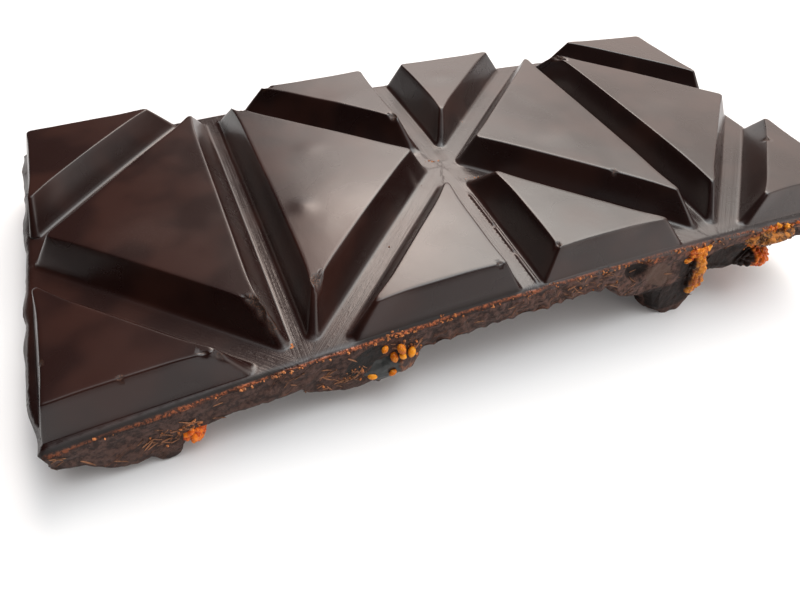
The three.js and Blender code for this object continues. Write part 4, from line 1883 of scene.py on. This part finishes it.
def grain_relief() -> NodeTree:
    """Makes the group that gives a grainy height, small flecks and wide clouds.

    Returns:
        The group, whose inputs are the grains' size in millimetres and a shift.
    """
    tree = bpy.data.node_groups.new("grain_relief", "ShaderNodeTree")
    for name, value in (("Wave", 1.0), ("Shift", 0.0)):
        socket = tree.interface.new_socket(name, in_out="INPUT", socket_type="NodeSocketFloat")
        socket.default_value = value
    for name in ("Height", "Flecks", "Clouds"):
        tree.interface.new_socket(name, in_out="OUTPUT", socket_type="NodeSocketFloat")
    desk = Desk(tree)
    given = desk.add("NodeGroupInput").outputs
    place = desk.add("ShaderNodeTexCoord").outputs["Object"]
    scale = desk.math("DIVIDE", 1 / MM, given["Wave"])
    place = desk.vector("SCALE", {0: place, "Scale": scale})
    place = desk.vector("ADD", {0: place, 1: given["Shift"]})
    height = desk.noise(place, 1.0, 3.0, 0.62)
    flecks = desk.ease(desk.noise(place, 2.3, 1.0, 0.5), 0.52, 0.66)
    clouds = desk.noise(place, 0.23, 2.0, 0.5)
    desk.add("NodeGroupOutput", {0: height, 1: flecks, 2: clouds})
    return tree


def dress(desk: Desk, colour: NodeSocket, roughness: NodeSocket,
          height: NodeSocket, gloss: float = 0.5) -> None:
    """Feeds a material's shader.

    Args:
        desk: the material's nodes.
        colour: its colour.
        roughness: its roughness.
        height: its small relief, in millimetres.
        gloss: strength of its mirroring, 0.5 for a plain clear coat of fat or juice.
    """
    bump = desk.add("ShaderNodeBump", {"Distance": MM, "Height": height}).outputs[0]
    shader = desk.tree.nodes["Principled BSDF"]
    for socket, value in (("Base Color", colour), ("Roughness", roughness), ("Normal", bump)):
        desk.feed(shader.inputs[socket], value)
    shader.inputs["Specular IOR Level"].default_value = gloss


@dataclass(frozen=True)
class ChocolateFinish:
    """Dark chocolate: satin face, fibrous broken sides, scraped rim, chips, pale bloom, and painted
    shade on dark patches and narrow ledges.
    """

    name: str = "chocolate"
    gloss: float = 0.5
    face: Triple = (0.0115, 0.0026, 0.0018)
    warm_face: Triple = (0.023, 0.0060, 0.0036)
    bloom: Triple = (0.26, 0.21, 0.19)
    side: Triple = (0.026, 0.0145, 0.0120)
    light_side: Triple = (0.126, 0.067, 0.053)
    fibre: Triple = (0.25, 0.098, 0.052)
    scraped: Triple = (0.52, 0.135, 0.042)
    broken: Triple = (0.018, 0.008, 0.005)
    light_broken: Triple = (0.12, 0.046, 0.022)
    flesh: Triple = (0.011, 0.013, 0.013)
    dark_stain_and_painted_shade: Triple = (0.007, 0.0045, 0.004)
    # Colour of painted shade, also used for the dark chocolate patches.
    pale_stain: Triple = (0.105, 0.062, 0.046)
    juice: Triple = (0.50, 0.115, 0.016)
    juice_places: tuple[Pair, ...] = ((98.5, 1.4), (107.8, 2.6), (124.5, 4.5))
    ledge_shade_spans: tuple[Pair, ...] = ((2.0, 33.0), (45.0, 72.0))
    grain_waves: tuple[Pair, ...] = ((2.6, 4.0), (0.95, 9.0), (0.42, 2.0))
    face_roughness: float = 0.28
    side_roughness: float = 0.74
    scrape_depth: float = -0.3
    scrape_width: float = 0.18
    fibre_turn: float = math.radians(38)
    fibre_stretch: Triple = (230.0, 420.0, 1150.0)
    scratch_stretch: Triple = (4.5, 0.07, 1.0)

    def material(self, grain: NodeTree) -> Material:
        """Makes the material.

        Args:
            grain: the group for grainy relief.

        Returns:
            The material.
        """
        desk, made = Desk.for_material(self.name)
        rough, broken, bloom = map(desk.attribute, ("rough_side", "broken", "bloom"))
        grains = wide, fine, tiny = [desk.group(grain, Wave=wave, Shift=shift)
                                     for wave, shift in self.grain_waves]
        face = desk.blend(desk.ease(wide["Clouds"], 0.45, 0.66), self.face, self.warm_face)
        paleness = desk.product(desk.scaled(tiny["Flecks"], 0.45, 0.3), bloom)
        face = desk.blend(desk.product(paleness, 0.7), face, self.bloom)
        lines = self.fibre_lines(desk)
        # Painted shade: the narrow ledges below two pads' front walls are darkened.
        ledge = self.ledge(desk)
        face = desk.blend(desk.product(ledge, 0.8), face, self.dark_stain_and_painted_shade)
        colour = desk.blend(rough, face, self.side_colour(desk, fine, lines))
        scraping = self.scraping(desk, fine, tiny)
        colour = desk.blend(scraping, colour, self.scraped)
        inside = desk.blend(tiny["Flecks"], self.broken, self.light_broken)
        colour = desk.blend(desk.product(broken, 0.85), colour, inside)
        dull = desk.math("MAXIMUM", rough, desk.product(broken, 0.7))
        dull = desk.math("MAXIMUM", dull, ledge)
        roughness = desk.ease(wide["Clouds"], 0.3, 0.7, self.face_roughness - 0.02,
                              self.face_roughness + 0.03)
        roughness = desk.scaled(paleness, 0.35, roughness)
        spread = desk.math("SUBTRACT", self.side_roughness, roughness)
        roughness = desk.scaled(dull, spread, roughness)
        height = self.relief(desk, grains, rough, lines)
        height = desk.scaled(desk.product(scraping, tiny["Height"]), 0.3, height)
        dress(desk, colour, roughness, height, self.gloss)
        return made

    def side_colour(self, desk: Desk, fine: Grain, lines: NodeSocket) -> NodeSocket:
        """Colour of the broken side with its stains and its dark patches of painted shade.

        Args:
            desk: where the nodes go.
            fine: outputs of the middle grain.
            lines: mask of the torn lines.

        Returns:
            The colour's socket.
        """
        along, front, height = desk.attribute_axes("rim_place")
        light = desk.product(desk.ease(fine["Height"], 0.36, 0.66),
                             desk.ease(along, 45.0, 85.0, 0.6, 1.0))
        side = desk.blend(light, self.side, self.light_side)
        side = desk.blend(desk.product(lines, 0.4), side, self.fibre)
        ragged = desk.scaled(fine["Height"], 0.9, -0.45)
        stains_and_painted_shade = [desk.ease(desk.math("ADD", found, ragged), 0.35, 0.6)
                  for found in desk.attribute_axes("stain_and_painted_shade")]
        # The dark patches paint shade into hollows and under lumps.
        for shade, colour in ((Shade.PALE, self.pale_stain), (Shade.DARK, self.dark_stain_and_painted_shade),
                              (Shade.FLESH, self.flesh)):
            side = desk.blend(desk.product(stains_and_painted_shade[shade], 0.85), side, colour)
        high = desk.product(desk.ease(height, -3.2, -0.9, 0.0, 0.95),
                            desk.ease(fine["Height"], 0.4, 0.56),
                            desk.ease(front, 1.5, 3.0, 1.0, 0.0))
        for middle, reach in self.juice_places:
            share = desk.product(high, desk.bell(along, middle, reach))
            side = desk.blend(share, side, self.juice)
        return side

    def ledge(self, desk: Desk) -> NodeSocket:
        """Where shade is painted dark on the narrow ledge between a front wall and the rim, which is
        also made rougher.

        Args:
            desk: where the nodes go.

        Returns:
            A mask's socket.
        """
        along, front, _ = desk.attribute_axes("rim_place")
        near = desk.ease(front, 0.7, 1.3, 1.0, 0.0)
        found = [desk.product(desk.ease(along, start - 1.5, start + 1.5),
                              desk.ease(along, end - 1.5, end + 1.5, 1.0, 0.0))
                 for start, end in self.ledge_shade_spans]
        return desk.product(near, desk.math("ADD", *found))

    def scraping(self, desk: Desk, fine: Grain, tiny: Grain) -> NodeSocket:
        """Where the top of the front side is scraped: a thin, broken, granular line.

        Args:
            desk: where the nodes go.
            fine: outputs of the middle grain.
            tiny: outputs of the finest grain.

        Returns:
            A mask's socket.
        """
        along, front, height = desk.attribute_axes("rim_place")
        wobble = desk.scaled(fine["Clouds"], 1.1, -0.55)
        line = desk.bell(desk.math("ADD", height, wobble), self.scrape_depth, self.scrape_width)
        return desk.product(line, desk.ease(front, 0.2, 0.6, 1.0, 0.0),
                            desk.ease(along, 8.0, 34.0, 0.3, 1.0),
                            desk.ease(along, 58.0, 84.0, 1.0, 0.5),
                            desk.ease(tiny["Height"], 0.40, 0.57, 0.15, 1.0))

    def fibre_lines(self, desk: Desk) -> NodeSocket:
        """Thin torn lines that slant across the broken side.

        Args:
            desk: where the nodes go.

        Returns:
            A mask's socket.
        """
        place = desk.add("ShaderNodeTexCoord").outputs["Object"]
        turned = desk.add("ShaderNodeVectorRotate", {"Vector": place, "Angle": self.fibre_turn},
                          rotation_type="Y_AXIS").outputs[0]
        drawn = desk.vector("MULTIPLY", {0: turned, 1: self.fibre_stretch})
        waves = desk.noise(drawn, 1.0, 2.0, 0.6, 0.9)
        apart = desk.math("ABSOLUTE", desk.math("SUBTRACT", waves, 0.5))
        patches = desk.ease(desk.noise(drawn, 0.23, 1.0, 0.5), 0.48, 0.62)
        return desk.product(desk.ease(apart, 0.0, 0.05, 1.0, 0.0), patches)

    def relief(self, desk: Desk, grains: list[Grain], rough: NodeSocket,
               lines: NodeSocket) -> NodeSocket:
        """Height of the surface's small detail, in millimetres.

        Args:
            desk: where the nodes go.
            grains: outputs of the coarse, middle and finest grain.
            rough: mask of the broken sides.
            lines: mask of the torn lines.

        Returns:
            The height's socket.
        """
        wide, fine, tiny = grains
        lengthwise = desk.add("ShaderNodeAttribute", attribute_name="grain").outputs["Vector"]
        drawn = desk.vector("MULTIPLY", {0: lengthwise, 1: self.scratch_stretch})
        scratches = desk.product(desk.noise(drawn, 1.0, 2.0, 0.7), desk.attribute("groove"))
        smooth = desk.product(desk.scaled(wide["Clouds"], 2.0, wide["Height"]), 0.014)
        smooth = desk.scaled(scratches, 0.035, smooth)
        smooth = desk.scaled(tiny["Height"], 0.0022, smooth)
        torn = desk.product(fine["Height"], 0.26)
        torn = desk.scaled(tiny["Height"], 0.09, torn)
        torn = desk.scaled(lines, 0.08, torn)
        return desk.scaled(rough, desk.math("SUBTRACT", torn, smooth), smooth)


@dataclass(frozen=True)
class MottledFinish:
    """A grainy finish of two colours with flecks of a third, for knobbly or small bodies; knobbly
    ones get painted shade in the crevices between knobs.
    """

    name: str
    light: Triple
    dark: Triple
    fleck: Triple
    wave: float
    roughness: float
    depth: float
    fleck_share: float = 0.6
    tone_share: float = 0.5
    knobbly: bool = False
    gloss: float = 0.22
    painted_crevice_shade: Triple = (0.16, 0.04, 0.010)
    cover: Triple = (0.020, 0.009, 0.006)

    def material(self, grain: NodeTree) -> Material:
        """Makes the material.

        Args:
            grain: the group for grainy relief.

        Returns:
            The material.
        """
        desk, made = Desk.for_material(self.name)
        own = desk.group(grain, Wave=self.wave, Shift=3.0)
        small = desk.group(grain, Wave=0.4 * self.wave, Shift=8.0)
        share = desk.scaled(desk.attribute("tone"), self.tone_share, own["Height"])
        middle = 0.5 + 0.5 * self.tone_share
        colour = desk.blend(desk.ease(share, middle - 0.25, middle + 0.2), self.dark, self.light)
        flecks = desk.product(small["Flecks"], self.fleck_share)
        colour = desk.blend(flecks, colour, self.fleck)
        if self.knobbly:
            # Painted shade: darker in the crevices between knobs.
            crevice_shade_share = desk.ease(desk.attribute("knob"), 0.05, 0.5, 0.8, 0.0)
            colour = desk.blend(crevice_shade_share, colour, self.painted_crevice_shade)
            colour = desk.blend(desk.attribute("crust"), colour, self.cover)
        height = desk.product(own["Height"], self.depth)
        height = desk.scaled(small["Height"], 0.4 * self.depth, height)
        roughness = desk.ease(small["Height"], 0.2, 0.7, self.roughness - 0.05,
                              self.roughness + 0.08)
        dress(desk, colour, roughness, height, self.gloss)
        return made


@dataclass(frozen=True)
class FigFinish:
    """A fig: smooth dark flesh that runs out under a crumbly brown crust."""

    name: str = "fig"
    flesh: Triple = (0.010, 0.012, 0.012)
    light_flesh: Triple = (0.030, 0.032, 0.030)
    crust: Triple = (0.030, 0.014, 0.012)
    light_crust: Triple = (0.24, 0.095, 0.045)

    def material(self, grain: NodeTree) -> Material:
        """Makes the material.

        Args:
            grain: the group for grainy relief.

        Returns:
            The material.
        """
        desk, made = Desk.for_material(self.name)
        crust = desk.attribute("crust")
        coarse = desk.group(grain, Wave=1.0, Shift=5.0)
        small = desk.group(grain, Wave=0.4, Shift=1.0)
        flesh = desk.blend(desk.ease(coarse["Height"], 0.4, 0.7), self.flesh, self.light_flesh)
        grains = desk.scaled(desk.attribute("tone"), 0.4, coarse["Height"])
        crumbly = desk.blend(desk.ease(grains, 0.5, 0.95), self.crust, self.light_crust)
        crumbly = desk.blend(desk.product(small["Flecks"], 0.5), crumbly, self.crust)
        colour = desk.blend(crust, flesh, crumbly)
        roughness = desk.ease(crust, 0.0, 1.0, 0.36, 0.66)
        height = desk.scaled(small["Height"], 0.1, desk.product(coarse["Height"], 0.2))
        height = desk.product(height, desk.scaled(crust, 0.75, 0.25))
        dress(desk, colour, roughness, height)
        return made


MOTTLED_FINISHES = (
    MottledFinish("amber_peel", (0.84, 0.29, 0.02), (0.40, 0.06, 0.008), (0.92, 0.50, 0.09),
                  0.8, 0.32, 0.15, knobbly=True, painted_crevice_shade=(0.10, 0.022, 0.007)),
    MottledFinish("red_peel", (0.86, 0.20, 0.014), (0.58, 0.06, 0.008), (0.90, 0.36, 0.06),
                  0.8, 0.34, 0.15, knobbly=True),
    MottledFinish("browned_peel", (0.46, 0.15, 0.02), (0.05, 0.016, 0.009), (0.72, 0.34, 0.06),
                  0.8, 0.40, 0.2, knobbly=True, painted_crevice_shade=(0.03, 0.012, 0.008)),
    MottledFinish("peel_bits", (0.86, 0.30, 0.02), (0.46, 0.06, 0.008), (0.92, 0.50, 0.08),
                  1.3, 0.34, 0.12),
    MottledFinish("seed", (0.84, 0.31, 0.018), (0.52, 0.12, 0.008), (0.93, 0.48, 0.05),
                  1.6, 0.24, 0.03, 0.3),
    MottledFinish("crumb", (0.56, 0.19, 0.06), (0.11, 0.042, 0.024), (0.50, 0.24, 0.10),
                  1.3, 0.60, 0.12),
    MottledFinish("shred", (0.30, 0.135, 0.07), (0.05, 0.024, 0.017), (0.36, 0.18, 0.09),
                  1.7, 0.62, 0.06),
)


@dataclass(frozen=True)
class PlainFinish:
    """One colour, roughness and faint light, for what only stands round the bar."""

    name: str
    colour: Triple
    roughness: float
    light: float = 0.0

    def material(self) -> Material:
        """Makes the material.

        Returns:
            The material.
        """
        desk, made = Desk.for_material(self.name)
        inputs = desk.tree.nodes["Principled BSDF"].inputs
        inputs["Base Color"].default_value = (*self.colour, 1)
        inputs["Roughness"].default_value = self.roughness
        inputs["Emission Color"].default_value = (1, 1, 1, 1)
        inputs["Emission Strength"].default_value = self.light
        return made


# ---- studio


@dataclass(frozen=True)
class Glow:
    """A soft-edged bright patch of the studio's dome, in degrees.

    Headings turn from the frame's y axis to its x axis, rises go up from the horizon.
    """

    heading: tuple[float, float, float, float]
    rise: tuple[float, float, float, float]
    colour: Triple
    strength: float


@dataclass(frozen=True)
class Studio:
    """Floor, light and camera. Lengths are metres and angles degrees."""

    image_width: float = 800.0
    focal_pixels: float = 616.87
    camera_place: Triple = (-0.051938, -0.084699, 0.081375)
    camera_heading: float = 28.883
    camera_dip: float = 45.516
    camera_roll: float = 7.965
    floor_size: float = 3.0
    card_left: float = -0.15
    card_span: Pair = (-0.30, 0.16)
    card_height: float = 0.12
    room_colour: Triple = (0.10, 0.075, 0.07)
    backdrop_colour: Triple = (0.93, 0.93, 0.935)
    glows: tuple[Glow, ...] = (
        Glow((8, 22, 54, 80), (36, 46, 51, 61), (1, 0.96, 0.90), 5.3),
        Glow((4, 15, 22, 34), (36, 45, 50, 60), (1, 0.70, 0.58), 7.3),
        Glow((4, 19, 60, 92), (28, 40, 58, 74), (1, 0.96, 0.90), 3.5),
        Glow((0, 10, 26, 44), (16, 27, 36, 46), (1, 0.94, 0.90), 1.7),
        Glow((10, 50, 138, 172), (54, 70, 95, 110), (0.93, 0.99, 1), 4),
        Glow((4, 18, 66, 88), (2, 14, 20, 36), (1, 0.84, 0.76), 1.6),
        Glow((98, 122, 138, 162), (-12, -4, 26, 50), (1, 0.90, 0.84), 1.7),
        Glow((-70, -65, 305, 310), (56, 74, 95, 110), (1, 1, 1), 2.2),
        Glow((76, 100, 148, 176), (14, 30, 60, 75), (0.95, 1, 1), 1),
    )

    def build(self) -> None:
        """Makes the floor, the dome of light and the camera."""
        self.add_floor()
        self.add_card()
        self.add_dome()
        self.add_camera()

    def add_panel(self, name: str, corners: list[tuple[float, ...]],
                  finish: PlainFinish) -> Object:
        """Adds a flat panel of the studio.

        Args:
            name: the panel's name.
            corners: its four corners in order.
            finish: its looks.

        Returns:
            The object.
        """
        made = mesh_object(name, np.array(corners), np.array([(0, 1, 2, 3)]))
        made.data.materials.append(finish.material())
        return made

    def add_floor(self) -> None:
        """Lays the pale floor."""
        half = self.floor_size / 2
        corners = [(-half, -half, 0), (half, -half, 0), (half, half, 0), (-half, half, 0)]
        self.add_panel("floor", corners, PlainFinish("floor", (0.74, 0.74, 0.75), 0.6, 0.06))

    def add_card(self) -> None:
        """Stands a black card beside the bar that darkens what its walls reflect."""
        front, back = self.card_span
        corners = [(self.card_left, y, z) for y, z in (
            (front, 0), (back, 0), (back, self.card_height), (front, self.card_height))]
        card = self.add_panel("card", corners, PlainFinish("card", (0.01, 0.01, 0.01), 0.9))
        card.visible_camera = False
        card.visible_shadow = False

    def add_dome(self) -> None:
        """Surrounds the floor with soft light, brightest behind the bar on its right."""
        world = bpy.data.worlds.new("dome")
        world.use_nodes = True
        desk = Desk(world.node_tree)
        direction = desk.add("ShaderNodeTexCoord").outputs["Generated"]
        axes = desk.add("ShaderNodeSeparateXYZ", {0: direction}).outputs
        turn = desk.math("DEGREES", desk.math("ARCTAN2", axes["X"], axes["Y"]))
        heading = desk.math("WRAP", turn, 300.0, -60.0)
        rise = desk.math("DEGREES", desk.math("ARCSINE", axes["Z"]))
        light = self.room_colour
        for glow in self.glows:
            share = glow.strength
            for angle, (start, full, fading, end) in ((heading, glow.heading), (rise, glow.rise)):
                share = desk.product(share, desk.ease(angle, start, full),
                                     desk.ease(angle, fading, end, 1.0, 0.0))
            light = desk.blend(1.0, light, desk.blend(1.0, glow.colour, share, "MULTIPLY"), "ADD")
        seen = desk.add("ShaderNodeLightPath").outputs["Is Camera Ray"]
        light = desk.blend(seen, light, self.backdrop_colour)
        background = world.node_tree.nodes["Background"]
        desk.feed(background.inputs["Color"], light)
        bpy.context.scene.world = world

    def add_camera(self) -> None:
        """Sets up the camera and plain colours for its picture."""
        camera = bpy.data.cameras.new("camera")
        camera.sensor_width = 36.0
        camera.lens = self.focal_pixels * camera.sensor_width / self.image_width
        camera.clip_start = 0.005
        made = linked("camera", camera)
        turn = Matrix.Rotation(-math.radians(self.camera_heading), 4, "Z")
        dip = Matrix.Rotation(math.radians(90 - self.camera_dip), 4, "X")
        roll = Matrix.Rotation(math.radians(self.camera_roll), 4, "Z")
        made.matrix_world = Matrix.Translation(self.camera_place) @ turn @ dip @ roll
        bpy.context.scene.camera = made
        bpy.context.scene.view_settings.view_transform = "Standard"


def main() -> None:
    """Builds the bar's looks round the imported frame."""
    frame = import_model()
    bar = BarShape()
    grain = grain_relief()
    materials = {finish.name: finish.material(grain)
                 for finish in (ChocolateFinish(), ChocolateFinish("torn_chocolate", 0.27),
                                FigFinish(), *MOTTLED_FINISHES)}
    chocolate = ChocolateBar(bar)
    body = chocolate.build()
    for name in ("chocolate", "torn_chocolate"):
        body.data.materials.append(materials[name])
    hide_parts("chocolate_bar")
    pieces = [body, *FruitFilling(bar).build(materials),
              *Debris(bar).build(chocolate.front_side, materials)]
    for piece in pieces:
        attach(piece, "root")
        LOG.info("%s: %d faces", piece.name, len(piece.data.polygons))
    LOG.info("the frame holds %d nodes", len(frame["nodes"]))
    Studio().build()


if __name__ == "__main__":
    logging.basicConfig(level=logging.INFO)
    main()
